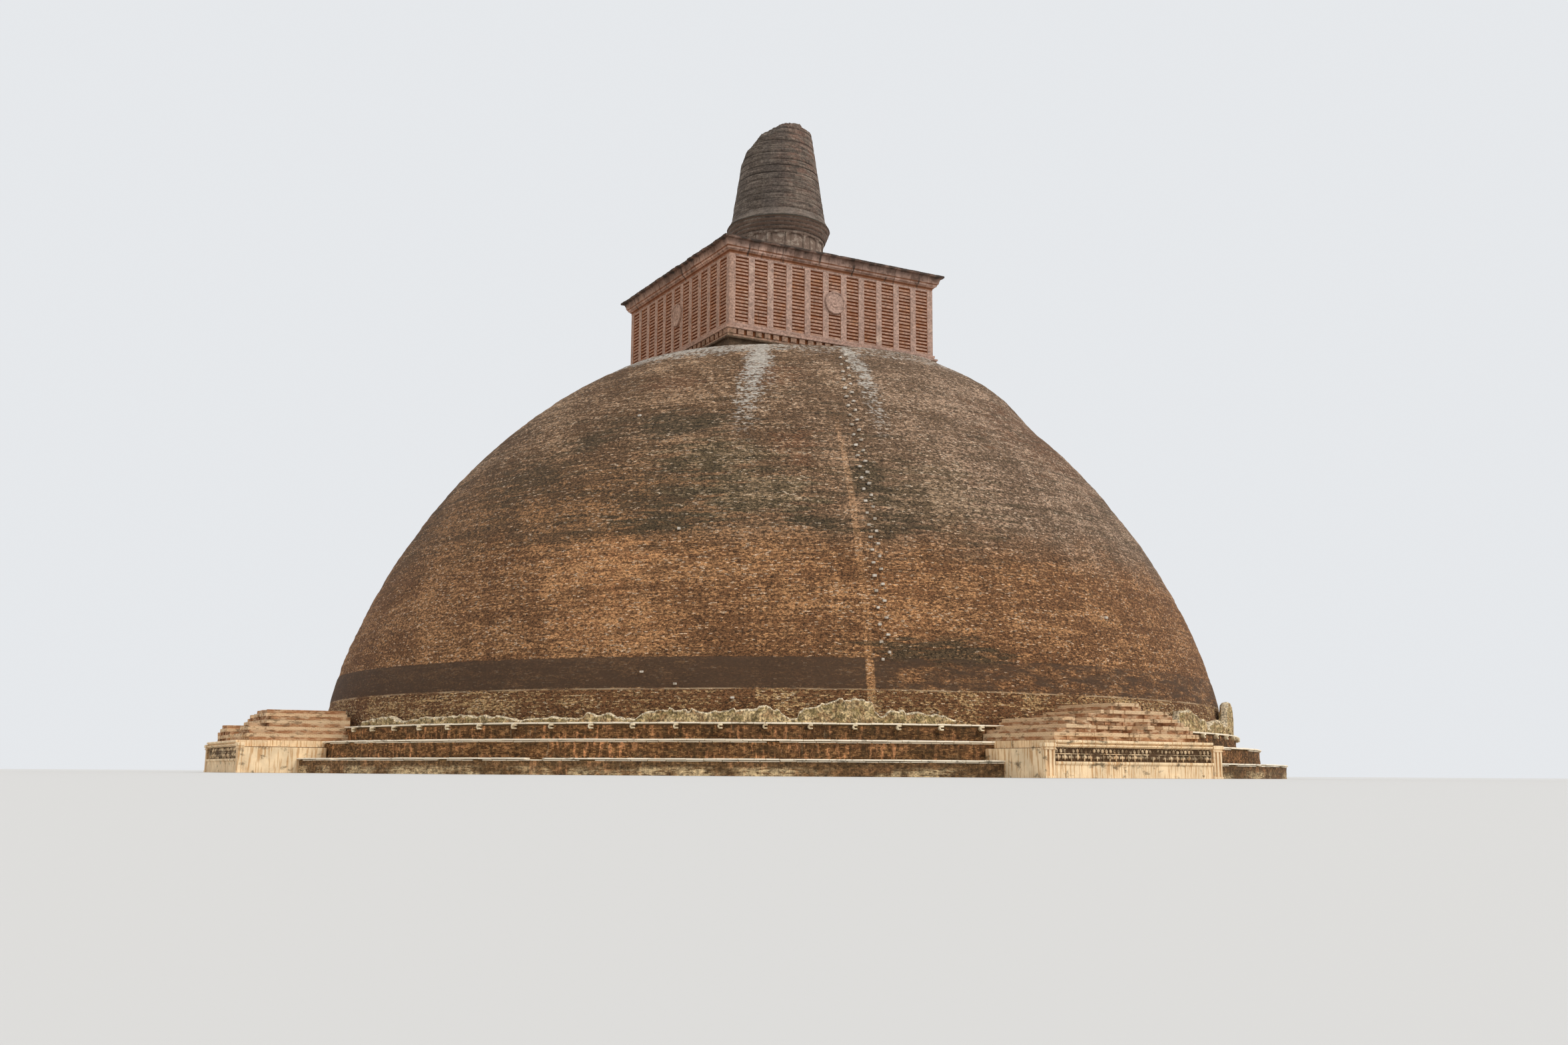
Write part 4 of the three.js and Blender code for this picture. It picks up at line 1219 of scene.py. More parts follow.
class STUPA_OT_terraces(bpy.types.Operator):
    """Three round brick terraces"""

    bl_idname = "stupa.terraces"
    bl_label = "Terraces"

    def execute(self, context):
        foot = 0.0
        for seed, node in enumerate(("lower_terrace", "middle_terrace", "upper_terrace"), 1):
            radius, top = high(node)[[0, 2]]
            terrace_piece(node, radius, foot, top, seed)
            foot = top - 0.12
        return {"FINISHED"}


def coping_ring(shape, pitch, radius, top, thick, deep, seed, missing):
    """A ring of coping stones: stones of uneven length laid end to end round the terrace, each a little
    higher, lower, further out or further in than its neighbours, some of them missing."""
    random = np.random.default_rng(seed)
    count = int(TAU * radius / pitch)
    share = random.uniform(0.65, 1.35, count)
    ends = np.concatenate([[0], np.cumsum(share)]) / share.sum() * TAU
    bearing = (ends[1:] + ends[:-1]) / 2
    half = (ends[1:] - ends[:-1]) / 2 * radius - 0.012
    keep = random.uniform(0, 1, count) >= missing
    outward = random.uniform(-0.035, 0.0, count)
    height = top - thick / 2 + random.uniform(-0.02, 0.0, count)
    centre = polar(radius - deep / 2 + outward, bearing, height)
    along, out = facing(bearing)
    sizes = xyz(half, deep / 2, thick / 2 * random.uniform(0.85, 1.0, count))
    shape.stones(centre[keep], along[keep], out[keep], sizes[keep], 0.025, 0.008, seed)


def spouts(shape, count):
    """Small hooked spout stones, evenly round the upper terrace: a short block above, a short block
    below and an upright one that joins them on the left."""
    bearing = (np.arange(count) - 0.18) * TAU / count
    for side, lift, half in (
        (0.05, 0.12, (0.16, 0.22, 0.07)),
        (0.05, -0.13, (0.15, 0.2, 0.065)),
        (-0.1, 0.0, (0.07, 0.19, 0.12)),
    ):
        off = bearing + side / UPPER_R
        centre = polar(UPPER_R - 0.02, off, UPPER_TOP - 0.34 + lift)
        shape.stones(centre, *facing(off), half, 0.025, 0.012, 12)


class STUPA_OT_copings(bpy.types.Operator):
    """Pale coping stones of the terraces, and the spout stones under the uppermost"""

    bl_idname = "stupa.copings"
    bl_label = "Copings and spouts"

    def execute(self, context):
        sizes = context.scene.stupa_sizes
        rings = {
            "upper": ((UPPER_R, UPPER_TOP, 0.14, 0.9, 5, 0.0),),
            "middle": (
                (MIDDLE_R, MIDDLE_TOP, 0.15, 0.9, 6, 0.0),
                (MIDDLE_R - 0.1, MIDDLE_TOP - 0.17, 0.09, 0.7, 7, 0.15),
            ),
            "lower": (
                (LOWER_R, LOWER_TOP, 0.12, 0.9, 8, 0.1),
                (LOWER_R - 0.1, LOWER_TOP - 0.15, 0.08, 0.7, 9, 0.12),
            ),
        }
        for word, layers in rings.items():
            shape = Shape()
            for layer in layers:
                coping_ring(shape, sizes.coping_stone / M, *layer)
            place(word + "_terrace_coping", shape, "Coping Stone")
        shape = Shape()
        spouts(shape, round(TAU * UPPER_R / (sizes.spout_pitch / M)))
        place("spout_stones", shape, "White Stone")
        return {"FINISHED"}


def dome_line(rows):
    """Reach and height of evenly spaced rows up the dome: reach = DOME_R cos(t)^(2/BULGE) and height =
    foot + RISE sin(t)^(2/SHOULDER), spaced out evenly along the line."""
    last = math.asin(((SEAT - UPPER_TOP) / RISE) ** (SHOULDER / 2))
    turn = np.linspace(0, last, 4000)
    reach = DOME_R * np.cos(turn) ** (2 / BULGE)
    height = UPPER_TOP + RISE * np.sin(turn) ** (2 / SHOULDER)
    along = np.concatenate([[0], np.cumsum(np.hypot(np.diff(reach), np.diff(height)))])
    even = np.linspace(0, along[-1], rows)
    return np.interp(even, along, reach), np.interp(even, along, height)


def dome_reach(height):
    """Reach of the dome at a height."""
    share = np.clip((np.asarray(height, float) - UPPER_TOP) / RISE, 0, 1)
    return DOME_R * (1 - share**SHOULDER) ** (1 / BULGE)


def shoulder_swell(bearing, height):
    """How far the dome stands out beyond its even line on its right shoulder: a hump over its bearing
    times a hump over its height, full at the rim of the flat top."""
    side = step(bearing, math.radians(-22), math.radians(42))
    side = side * (1 - step(bearing, math.radians(74), math.radians(108)))
    return 1.1 * side * step(height, 35.6, 40.2)


class STUPA_OT_dome(bpy.types.Operator):
    """The brick dome: its line turned about the axis, moved along its slope by ledges, wear and a swell"""

    bl_idname = "stupa.dome"
    bl_label = "Dome"

    def execute(self, context):
        rows, columns = 214, 420
        line_reach, line_height = dome_line(rows)
        reach, height = line_reach[:, None], line_height[:, None]
        lean = np.stack([np.gradient(line_height), -np.gradient(line_reach)], -1)
        lean /= np.linalg.norm(lean, axis=1)[:, None]
        bearing = turns_round(columns)
        points = polar(reach, bearing, height)
        ledge = np.abs((height / 0.62) % 1.0 - 0.5) * 0.05
        eroded = 0.05 * rough(points, (2.2, 2.2, 0.55), 41) + 0.07 * wave(points, (9, 9, 3), 42)
        smooth = step(height, BAND_LOW - 0.1, BAND_LOW + 0.1) - step(height, BAND_HIGH - 0.1, BAND_HIGH + 0.1)
        relief = (ledge + eroded) * (1 - 0.85 * smooth) + 0.05 * smooth
        ends = step(height, UPPER_TOP, UPPER_TOP + 0.5) * (1 - step(height, SEAT - 0.4, SEAT - 0.05))
        swell = shoulder_swell((bearing + math.pi) % TAU - math.pi, height)
        relief = relief * ends - 0.03
        out = relief * lean[:, 0:1] + swell * lean[:, 0:1]
        up = relief * lean[:, 1:2] * ends + swell * lean[:, 1:2]
        roof = polar(np.array([[16.0], [9.0]]), bearing, SEAT)
        shape = Shape()
        shape.grid(np.concatenate([polar(reach + out, bearing, height + up), roof]))
        place("dome_brickwork", shape, "Dome Brick", ("dome",), 60.0)
        return {"FINISHED"}


class STUPA_OT_step_stones(bpy.types.Operator):
    """Pale stones that stand out from the dome in two staggered columns"""

    bl_idname = "stupa.step_stones"
    bl_label = "Step stones"

    def execute(self, context):
        pitch = context.scene.stupa_sizes.step_pitch / M
        heights, bearings = [], []
        for column in (0, 1):
            lower = np.arange(STEPS_LOW + 0.6 * column, STEPS_CLOSE + 0.7, 1.25 * pitch)
            upper = np.arange(lower[-1] + 1.15 * pitch, STEPS_HIGH, pitch)
            z = np.concatenate([lower, upper])
            # The columns lean to the right, most of it by the sixth power of the rise.
            lean = np.clip((z - STEPS_CLOSE) / (STEPS_HIGH - STEPS_CLOSE), 0, 1)
            heights.append(z)
            bearings.append(-18.05 + 0.9 * lean + 4.6 * lean**6 + np.degrees(0.6 * column / dome_reach(z)))
        stray = np.array(STRAY_STONES)
        bearing = np.radians(np.concatenate([*bearings, stray[:, 0]]))
        z = np.concatenate([*heights, stray[:, 1]])
        half = np.array([0.14, 0.26, 0.1]) * np.random.default_rng(3).uniform(0.8, 1.2, (len(z), 3))
        swell = shoulder_swell(bearing, z)
        centre = polar(dome_reach(z) - 0.02 + 0.5 * swell, bearing, z + 0.86 * swell)
        shape = Shape()
        shape.stones(centre, *facing(bearing), half, 0.025, 0.015, 4)
        place("step_stones", shape, "Step Stone")
        return {"FINISHED"}


def ruin_height(degrees, side, seed):
    """Height of the masonry: its top line, broken into blocks of uneven height."""
    at, tall = np.array(RUIN_TOP).T
    mirrored = side in ("front", "back")
    height = np.interp(90 - degrees if mirrored else degrees, at, tall)
    if side == "front":
        start, end, top = TALL_LUMP
        inside = step(degrees, start, start + 0.8) * (1 - step(degrees, end - 0.35, end))
        height = np.maximum(height, inside * top)
    blocks = lattice(cell_of(degrees / 0.42), seed, 0, 44)
    uneven = 0.1 * rough(xyz(degrees, 3.0 * seed, 0.0), (1.1, 1, 1), seed)
    return np.maximum(height * (1 + uneven + 0.1 * blocks) + 0.03 * blocks, 0.14)


def rubble(shape, turns):
    """Loose stones fallen on the upper terrace."""
    random = np.random.default_rng(70 + turns)
    count = 46
    bearing = np.radians(random.uniform(12, 78, count) + 90 * turns)
    half = random.uniform(0.04, 0.13, (count, 3)) * (1.4, 1.0, 0.8)
    centre = polar(random.uniform(48.05, 48.3, count), bearing, UPPER_TOP + half[:, 2] * 0.8)
    shape.stones(centre, *facing(bearing + random.uniform(0, 3, count)), half, 0.03, 0.02, turns)


class STUPA_OT_old_masonry(bpy.types.Operator):
    """Ragged remains of lime-coated masonry round the dome's foot"""

    bl_idname = "stupa.old_masonry"
    bl_label = "Old masonry"

    def execute(self, context):
        section = np.array([
            (1, 0), (1, 0.3), (0.97, 0.55), (0.93, 0.75), (0.9, 0.87), (0.86, 0.95), (0.7, 1), (0.2, 1),
            (-0.3, 0.98), (-0.7, 0.9), (-0.9, 0.6), (-1, 0),
        ])
        across, up = section[:, 0:1], section[:, 1:2]
        degrees = np.linspace(11.4, 78.6, 480)
        for turns, side in enumerate(SIDES):
            node = side + "_old_masonry"
            roof = high(node)[2] - UPPER_TOP
            tall = np.minimum(ruin_height(degrees, side, turns + 1), roof)
            bearing = np.radians(degrees + 90 * turns)
            points = polar(RUIN_MIDDLE + RUIN_HALF * across, bearing, UPPER_TOP + tall * up)
            chip = 0.12 * rough(points, (0.6, 0.6, 0.4), 50 + turns) * (up > 0)
            reach = np.hypot(points[..., 0], points[..., 1]) + np.minimum(chip * np.sign(across), 0.05)
            z = points[..., 2] + 0.06 * rough(points, (0.4, 0.4, 0.4), 60) * (up > 0) * np.minimum(tall, 1)
            z = np.clip(z, UPPER_TOP - 0.02, UPPER_TOP + roof)
            shape = Shape()
            # The mark is 1 along the top, which the material paints cream: lime and a painted highlight.
            shape.grid(polar(reach, bearing, z), closed=True, mark=step(tall * (1 - up), 0.24, 0.08))
            rubble(shape, turns)
            place(node + "_ruin", shape, "Old Lime Masonry", (node,), 50.0)
        return {"FINISHED"}


def joints(pitch, seed):
    """Stations along the face of a frontispiece: three at each joint of its stones, and some between.
    Returns the stations and how far each is drawn in, from 0 to 1."""
    count = round(2 * FRONT_HALF / pitch)
    share = np.cumsum(np.concatenate([[0], np.random.default_rng(seed).uniform(0.75, 1.25, count)]))
    middle = (-FRONT_HALF + share / share[-1] * (2 * FRONT_HALF))[1:-1]
    even = np.linspace(-FRONT_HALF, FRONT_HALF, count * 5)
    at = np.concatenate([middle - 0.02, middle, middle + 0.02, even, [-FRONT_HALF, FRONT_HALF]])
    drawn = np.zeros(len(at))
    drawn[len(middle) : 2 * len(middle)] = 1.0
    order = np.argsort(at, kind="stable")
    at, drawn = at[order], drawn[order]
    keep = np.concatenate([[True], np.diff(at) > 0.004])
    return at[keep], drawn[keep]


def front_band(turns, section, pitch, seed, cell, wear, sink, settle=0.0):
    """A closed section of (y, z) points carried along the face of a frontispiece. Its front is worn,
    drawn in at each upright joint and, by settle, sunk."""
    at, drawn = joints(pitch, seed + turns)
    section = np.array(section)
    points = xyz(at, section[:, 0:1], section[:, 1:2])
    front = points[..., 1] < 0.3 - FACE
    inward = 0.05 * np.interp(points[..., 0], at, drawn) - (wear * rough(points, cell, seed + 1) - sink)
    down = settle * rough(points, (0.8, 0.8, 0.8), seed + 2)
    shape = Shape()
    moved = points + xyz(0.0, front * np.maximum(inward, 0), front * np.minimum(down, 0))
    shape.grid(quarter(moved, turns), closed=True)
    return shape


def front_base(turns):
    """Base band with a lip along its top."""
    lip, face = BASE_TOP - 0.24, -FACE
    section = [
        (-BACK, 0.0), (-BACK, BASE_TOP), (face - 0.06, BASE_TOP), (face - 0.12, BASE_TOP - 0.05),
        (face - 0.12, lip + 0.08), (face - 0.05, lip), (face, lip - 0.01), (face, lip * 0.66),
        (face, lip * 0.33), (face, 0.0),
    ]
    return front_band(turns, section, 1.9, 80, (0.9, 0.9, 0.5), 0.03, 0.035)


def front_mouldings(turns):
    """Cornice over the frieze: a slab, a hollow and a heavier slab."""
    foot, top, face = FRIEZE_TOP - 0.08, CORNICE_TOP, -FACE
    section = [
        (-BACK, foot), (-BACK, top), (face - 0.06, top), (face - 0.12, top - 0.05), (face - 0.12, top - 0.17),
        (face - 0.02, top - 0.21), (face + 0.1, top - 0.25), (face + 0.1, top - 0.3),
        (face - 0.05, top - 0.34), (face - 0.08, top - 0.42), (face + 0.05, foot + 0.06), (face + 0.15, foot),
    ]
    return front_band(turns, section, 1.5, 90, (0.7, 0.7, 0.4), 0.04, 0.04, 0.02)


def bump(u, w, middle_u, middle_w, wide, tall):
    """A rounded bump: the upper half of an ellipsoid on the face, 0 outside it."""
    return np.sqrt(np.clip(1 - ((u - middle_u) / wide) ** 2 - ((w - middle_w) / tall) ** 2, 0, 1))


def frieze_relief(x, w):
    """Depth of the carving. Below, a row of elephant heads, each a round head with a trunk and two
    ears. Above, a row of lotus petals between small discs. w is the height in the frieze."""
    pitch, small = 0.62, 0.4
    u = (x / pitch - np.round(x / pitch)) * pitch
    v = (x / small - np.round(x / small)) * small
    head = 0.2 * bump(u, w, 0, 0.34, 0.13, 0.19)
    trunk = 0.16 * bump(u, w, 0, 0.15, 0.05, 0.16)
    ears = 0.11 * bump(np.abs(u), w, 0.2, 0.33, 0.09, 0.17)
    petals = 0.16 * bump(v, w, 0, 0.8, 0.14, 0.19) * (1 - 0.4 * bump(v, w, 0, 0.78, 0.05, 0.12))
    discs = 0.12 * bump(np.abs(v), w, small / 2, 0.95, 0.06, 0.06)
    line = 0.13 * (np.abs(w - 0.57) < 0.03)
    return np.maximum.reduce([head, trunk, ears, petals, discs, line])


def front_frieze(turns):
    """Carved frieze: a grid across the face, pushed out by the relief and worn by noise."""
    tall = FRIEZE_TOP - BASE_TOP - 0.08
    x, w = np.meshgrid(np.linspace(-FRONT_HALF, FRONT_HALF, 430), np.linspace(0, tall, 26))
    flat = xyz(x, 0.0, w)
    kept = np.clip(0.75 + 0.6 * rough(flat, (0.9, 1, 0.5), 85 + turns), 0.15, 1)
    out = frieze_relief(x, w) * kept + 0.02 * rough(flat, (0.2, 1, 0.2), 86)
    rear = xyz(x[:1], -BACK, np.array([[FRIEZE_TOP - 0.08], [BASE_TOP]]))
    shape = Shape()
    shape.grid(quarter(np.concatenate([xyz(x, -FACE + 0.32 - out, BASE_TOP + w), rear]), turns), closed=True)
    return shape


def front_tower(turns):
    """Broken brickwork above the cornice, in level courses. Each course is laid where the outline of
    the front or the rear layer is high enough, its face steps in and out by the brick, and every other
    course is a projecting ledge."""
    behind = -47.6
    edges = np.arange(-7.35, 7.36, 0.3)
    middle = (edges[1:] + edges[:-1]) / 2
    flat = xyz(middle, 0.0, 0.0)
    uneven = 0.28 * rough(flat, (1.1, 1, 1), 95 + turns)
    fore = np.interp(middle, *np.array(FORE).T, left=0, right=0) + uneven
    rear = np.interp(middle, *np.array(REAR).T, left=0, right=0) + uneven
    rear = np.minimum(rear, TOWER_TOP - CORNICE_TOP - 0.02)
    number = np.arange(len(middle))
    shape = Shape()
    for course in range(CORE_COURSES):
        foot, top = course * CORE_COURSE, (course + 1) * CORE_COURSE
        brick = lattice((number + course) // 2, course, turns, 93) * 0.11
        deep = 0.86 + 0.07 * course + 0.3 * wave(flat + (0, course, 0), (1.6, 2, 1), 94) + brick
        deep = np.where(fore >= top, np.maximum(deep, 0.78), 2.62 + 0.04 * course + brick)
        deep = np.maximum(deep - 0.16 * (course % 2), 0.78)
        laid = (fore >= top) | (rear >= top)
        starts = np.flatnonzero(laid & ~np.concatenate([[False], laid[:-1]]))
        ends = np.flatnonzero(laid & ~np.concatenate([laid[1:], [False]]))
        for start, end in zip(starts, ends):
            at = np.repeat(edges[start : end + 2], 2)[1:-1]
            front = -FACE + np.repeat(deep[start : end + 1], 2)
            wall = np.full_like(front, behind)
            y = np.stack([wall, wall, front + 0.03, front, front, front + 0.03])
            z = CORNICE_TOP + np.array([foot - 0.01, top, top, top - 0.03, foot + 0.03, foot - 0.01])
            points = xyz(at, y, z[:, None])
            lift = 0.035 * wave(points, 0.4, 98) * (y > behind) - 0.035 * (course == CORE_COURSES - 1)
            worn = xyz(0.045 * wave(points, 0.3, 96), 0.045 * wave(points, 0.3, 97), lift)
            shape.grid(quarter(points + worn, turns), closed=True)
    return shape


def front_stele(turns, side):
    """A stele: a section with two upright grooves on its face, carried up through a base, a shaft and a
    stepped cap, with a plain wall behind it running back to the terraces."""
    levels = (0.0, 0.16, 0.17, 2.08, 2.09, 2.16, 2.22, STELE_TOP, STELE_TOP, STELE_CAP - 0.12, STELE_CAP)
    up = np.array(levels)
    grow = np.array([0.05, 0.05, 0.0, 0.0, 0.05, 0.09, 0.03, 0.03, 0.12, 0.12, 0.09])
    across = np.array([-1, -0.64, -0.56, -0.28, -0.2, 0.2, 0.28, 0.56, 0.64, 1])
    groove = np.array([0, 0, 1, 1, 0, 0, 1, 1, 0, 0])
    carved = ((up >= 0.17) & (up < 2.085))[:, None]
    half = STELE_HALF + grow
    front_x = STELE_X + side * across * half[:, None]
    front_y = -FACE - np.minimum(grow, 0.12)[:, None] + groove * 0.1 * carved
    back_x = np.stack([STELE_X + side * half, STELE_X - side * half], 1)
    x = np.concatenate([front_x, back_x], 1)
    y = np.concatenate([front_y, np.full_like(back_x, -FACE + STELE_DEEP)], 1)
    points = xyz(x, y, up[:, None])
    points = points + 0.012 * xyz(rough(points, 0.4, 101), rough(points, 0.4, 102), 0.0)
    points[..., 0] = side * np.maximum(points[..., 0], FRONT_HALF + 0.01)
    points[..., 1] = np.maximum(points[..., 1], -FACE - 0.12)
    shape = Shape()
    shape.grid(quarter(points, turns))
    inner, outer = FRONT_HALF + 0.01, STELE_X + STELE_HALF - 0.12
    x0, x1 = (inner, outer) if side > 0 else (-outer, -inner)
    run = np.linspace(-FACE + STELE_DEEP - 0.02, -BACK, 30)
    wall = xyz(np.array([[x0], [x1], [x1], [x0]]), run, np.array([[0.0], [0.0], [2.2], [2.2]]))
    shape.grid(quarter(wall[::-1], turns), closed=True)
    return shape


class STUPA_OT_frontispieces(bpy.types.Operator):
    """The four frontispieces: base, carved frieze, cornice, steles and ruined brick core"""

    bl_idname = "stupa.frontispieces"
    bl_label = "Frontispieces"

    def execute(self, context):
        for turns, side in enumerate(SIDES):
            node = side + "_frontispiece_"
            base, frieze = front_base(turns), front_frieze(turns)
            place(node + "base", base, "Carved Stone", (node + "plinth",))
            place(node + "frieze", frieze, "Frieze Stone", smooth=50.0)
            cornice, core = front_mouldings(turns), front_tower(turns)
            place(node + "cornice", cornice, "Carved Stone", (node + "mouldings",))
            place(node + "core", core, "Ruined Brick", (node + "tower",), 20.0)
            for word, sign in (("left", -1), ("right", 1)):
                name, stele = side + "_stele_carved_" + word, front_stele(turns, sign)
                place(name, stele, "Carved Stone", (side + "_stele_" + word,), 25.0)
        return {"FINISHED"}


def worn_square(size, seed):
    """An outward shift that wears a square course unevenly."""
    return lambda points: size * (rough(points, (1.1, 1.1, 0.5), seed) - 0.8)


def slab_wear(points):
    """Uneven blocks: the face steps in and out by the block, rounded at the joints and chipped."""
    x, y = points[..., 0], points[..., 1]
    along = np.where(np.abs(x) < np.abs(y), x, y) / CORNICE_BLOCK
    block = cell_of(along)
    lean = lattice(block, 3, 5, 9) * 0.04
    round_off = 0.04 * np.abs(2 * (along - block) - 1) ** 14
    chips = 0.05 * rough(points, (0.6, 0.6, 0.3), 113)
    return np.minimum(lean + chips - 0.08, 0.0) - round_off


def flat_side(x, out, z, turns):
    """Points on one side of the chamber: x along it, out from the axis, z up."""
    return quarter(xyz(x, -np.asarray(out), z), turns)


def side_frame(turns):
    """The direction along a side and the direction out of it."""
    return quarter(np.array([1.0, 0.0, 0.0]), turns), quarter(np.array([0.0, -1.0, 0.0]), turns)


class STUPA_OT_chamber(bpy.types.Operator):
    """The square chamber: plinth, teeth, rails, posts, medallions and cornice"""

    bl_idname = "stupa.chamber"
    bl_label = "Chamber"

    def execute(self, context):
        self.plinth()
        self.teeth()
        self.band()
        self.rails(context.scene.stupa_sizes.rails)
        for turns, side in enumerate(SIDES):
            self.posts(side, turns)
        for turns, side in enumerate(SIDES):
            self.medallion(side, turns)
        self.cornice()
        return {"FINISHED"}

    def piece(self, name, shape, material, node, smooth=30.0):
        """Places a piece of the chamber's brick that stands for a node."""
        place("chamber_" + name, shape, material, ("chamber_" + node,), smooth)

    def course(self, name, half, height, per_side, wear, material, node):
        """A course as one line carried round the square and worn."""
        shape = Shape()
        shape.square(half, height, per_side, wear)
        self.piece(name, shape, material, node)

    def plinth(self):
        """Plinth and ledge."""
        half = [12.72, 12.74, 12.76, 12.74, LEDGE_HALF - 0.03, LEDGE_HALF, LEDGE_HALF, LEDGE_HALF - 0.03]
        ledge = PLINTH_TOP - 0.2
        height = [SEAT, SEAT + 0.3, SEAT + 0.7, ledge, ledge, ledge + 0.04, PLINTH_TOP - 0.04, PLINTH_TOP]
        self.course("plinth_brickwork", half, height, 90, worn_square(0.02, 110), "Plinth Brick", "plinth")

    def teeth(self):
        """A sunk wall, a low course in front of its foot, and square teeth above that."""
        shape = Shape()
        shape.square([TOOTH_HALF - TOOTH_DEEP] * 3, np.linspace(PLINTH_TOP, TEETH_TOP, 3), 60)
        half = [TOOTH_HALF - 0.04, TOOTH_HALF, TOOTH_HALF, TOOTH_HALF - 0.04]
        shape.square(half, PLINTH_TOP + np.array([0, 0.03, 0.22, 0.25]), 60, worn_square(0.02, 114))
        foot = PLINTH_TOP + 0.28
        pitch = 2 * TOOTH_HALF / TEETH
        at = -TOOTH_HALF + pitch * (np.arange(TEETH) + 0.5)
        wide = np.full(TEETH, TOOTH_WIDE / 2)
        wide[[0, -1]] = pitch / 2 - 0.02
        half = xyz(wide, 0.21, (TEETH_TOP - foot) / 2 - 0.01)
        for turns in range(4):
            centre = flat_side(at, TOOTH_HALF - 0.21, (foot + TEETH_TOP) / 2, turns)
            shape.stones(centre, *side_frame(turns), half, 0.03, 0.012, 120 + turns)
        self.piece("teeth", shape, "Tooth Plaster", "tooth_course")

    def band(self):
        """The moulded band over the teeth."""
        lift = PANELS_FOOT - TEETH_TOP
        half = [LEDGE_HALF - 0.04, LEDGE_HALF, LEDGE_HALF, BAND_HALF, BAND_HALF - 0.04, BAND_HALF, BAND_HALF]
        height = TEETH_TOP + lift * np.array([0, 0.06, 0.33, 0.38, 0.55, 0.7, 1.0])
        wear = worn_square(0.018, 111)
        self.course("band_moulding", half, height, 90, wear, "Chamber Plaster", "lower_band")

    def rails(self, count):
        """Behind, a plain wall. In front, a ladder of flat rails in each panel, each a worn bar."""
        wall = Shape()
        wall.square([BACK_HALF] * 6, np.linspace(PANELS_FOOT, PANELS_TOP, 6), 60)
        place("chamber_back_wall", wall, "Shadow Brick")
        tall = (PANELS_TOP - PANELS_FOOT) / count
        deep = (RAIL_HALF - BACK_HALF + 0.1) / 2
        column, row = np.meshgrid(np.arange(PANELS), np.arange(count), indexing="ij")
        x = (-FRAME_HALF + POST / 2 + PANEL_PITCH * (column + 0.5)).ravel()
        level = (PANELS_FOOT + tall * (row + 0.62)).ravel()
        shape = Shape()
        for turns in range(4):
            random = np.random.default_rng(130 + turns)
            z = level + random.uniform(-0.008, 0.008, x.size)
            out = RAIL_HALF - deep + random.uniform(-0.02, 0.01, x.size)
            half_tall = tall * 0.315 * random.uniform(0.86, 1.1, x.size)
            half = xyz((PANEL_PITCH - POST) / 2 + 0.06, deep, half_tall)
            shape.stones(flat_side(x, out, z, turns), *side_frame(turns), half, 0.03, 0.008, 140 + turns)
        self.piece("rails", shape, "Rail Brick", "railed_core")

    def posts(self, side, turns):
        """Upright posts, a heavier one at the corner, and the rails that join their heads and feet."""
        middle = (PANELS_FOOT + PANELS_TOP) / 2
        tall = (PANELS_TOP - PANELS_FOOT) / 2 - 0.01
        deep = (FRAME_HALF - BACK_HALF + 0.06) / 2
        along, out = side_frame(turns)
        upright = (0, 0, 1)
        shape = Shape()
        x = -FRAME_HALF + POST / 2 + PANEL_PITCH * np.arange(1, PANELS)
        centre = flat_side(x, FRAME_HALF - deep, middle, turns)
        shape.stones(centre, upright, out, (tall, deep, POST / 2), 0.035, 0.008, 150 + turns)
        corner = flat_side(-FRAME_HALF + POST / 2, FRAME_HALF - POST / 2, middle, turns)
        shape.stones(corner, upright, out, (tall, POST / 2, POST / 2), 0.045, 0.01, 160 + turns)
        for z, half in ((PANELS_TOP - 0.11, 0.1), (PANELS_FOOT + 0.07, 0.06)):
            centre = flat_side(0.0, FRAME_HALF - deep - 0.02, z, turns)
            shape.stones(centre, along, out, (FRAME_HALF - POST, deep, half), 0.025, 0.006, 170 + turns)
        self.piece(side + "_post_row", shape, "Chamber Plaster", side + "_posts")

    def medallion(self, side, turns):
        """Round plaque on a polar grid: a raised rim, a shallow dish, an open ring and a round boss."""
        reach = np.array([
            0, 0.06, 0.12, 0.17, 0.2, 0.3, 0.36, 0.4, 0.45, 0.5, 0.56, 0.7, 0.84, 0.98,
            1.02, 1.08, 1.14, 1.2, 1.2,
        ])
        r, turn = np.meshgrid(reach, turns_round(64), indexing="ij")
        rim = 0.07 * (step(r, 0.98, 1.04) - step(r, 1.15, 1.2))
        dish = 0.11 - 0.03 * step(r, 1.0, 0.5)
        boss = 0.08 * np.sqrt(np.clip(1 - (r / 0.19) ** 2, 0, 1))
        gap = step(np.abs(np.angle(np.exp(1j * (turn - 0.7)))), 0.5, 1.0)
        ring = 0.07 * (step(r, 0.33, 0.4) - step(r, 0.48, 0.56)) * gap
        out = FRAME_HALF + dish + rim + boss + ring
        out[-1] = FRAME_HALF - 0.3
        points = flat_side(1.05 * r * np.cos(turn), out, PANELS_FOOT + 4.1 + 1.05 * r * np.sin(turn), turns)
        worn = (out > FRAME_HALF) * 0.01 * rough(points, 0.25, 180 + turns)
        shape = Shape()
        shape.grid((points + worn[..., None])[::-1])
        self.piece(side + "_plaque", shape, "Chamber Plaster", side + "_medallion", 40.0)

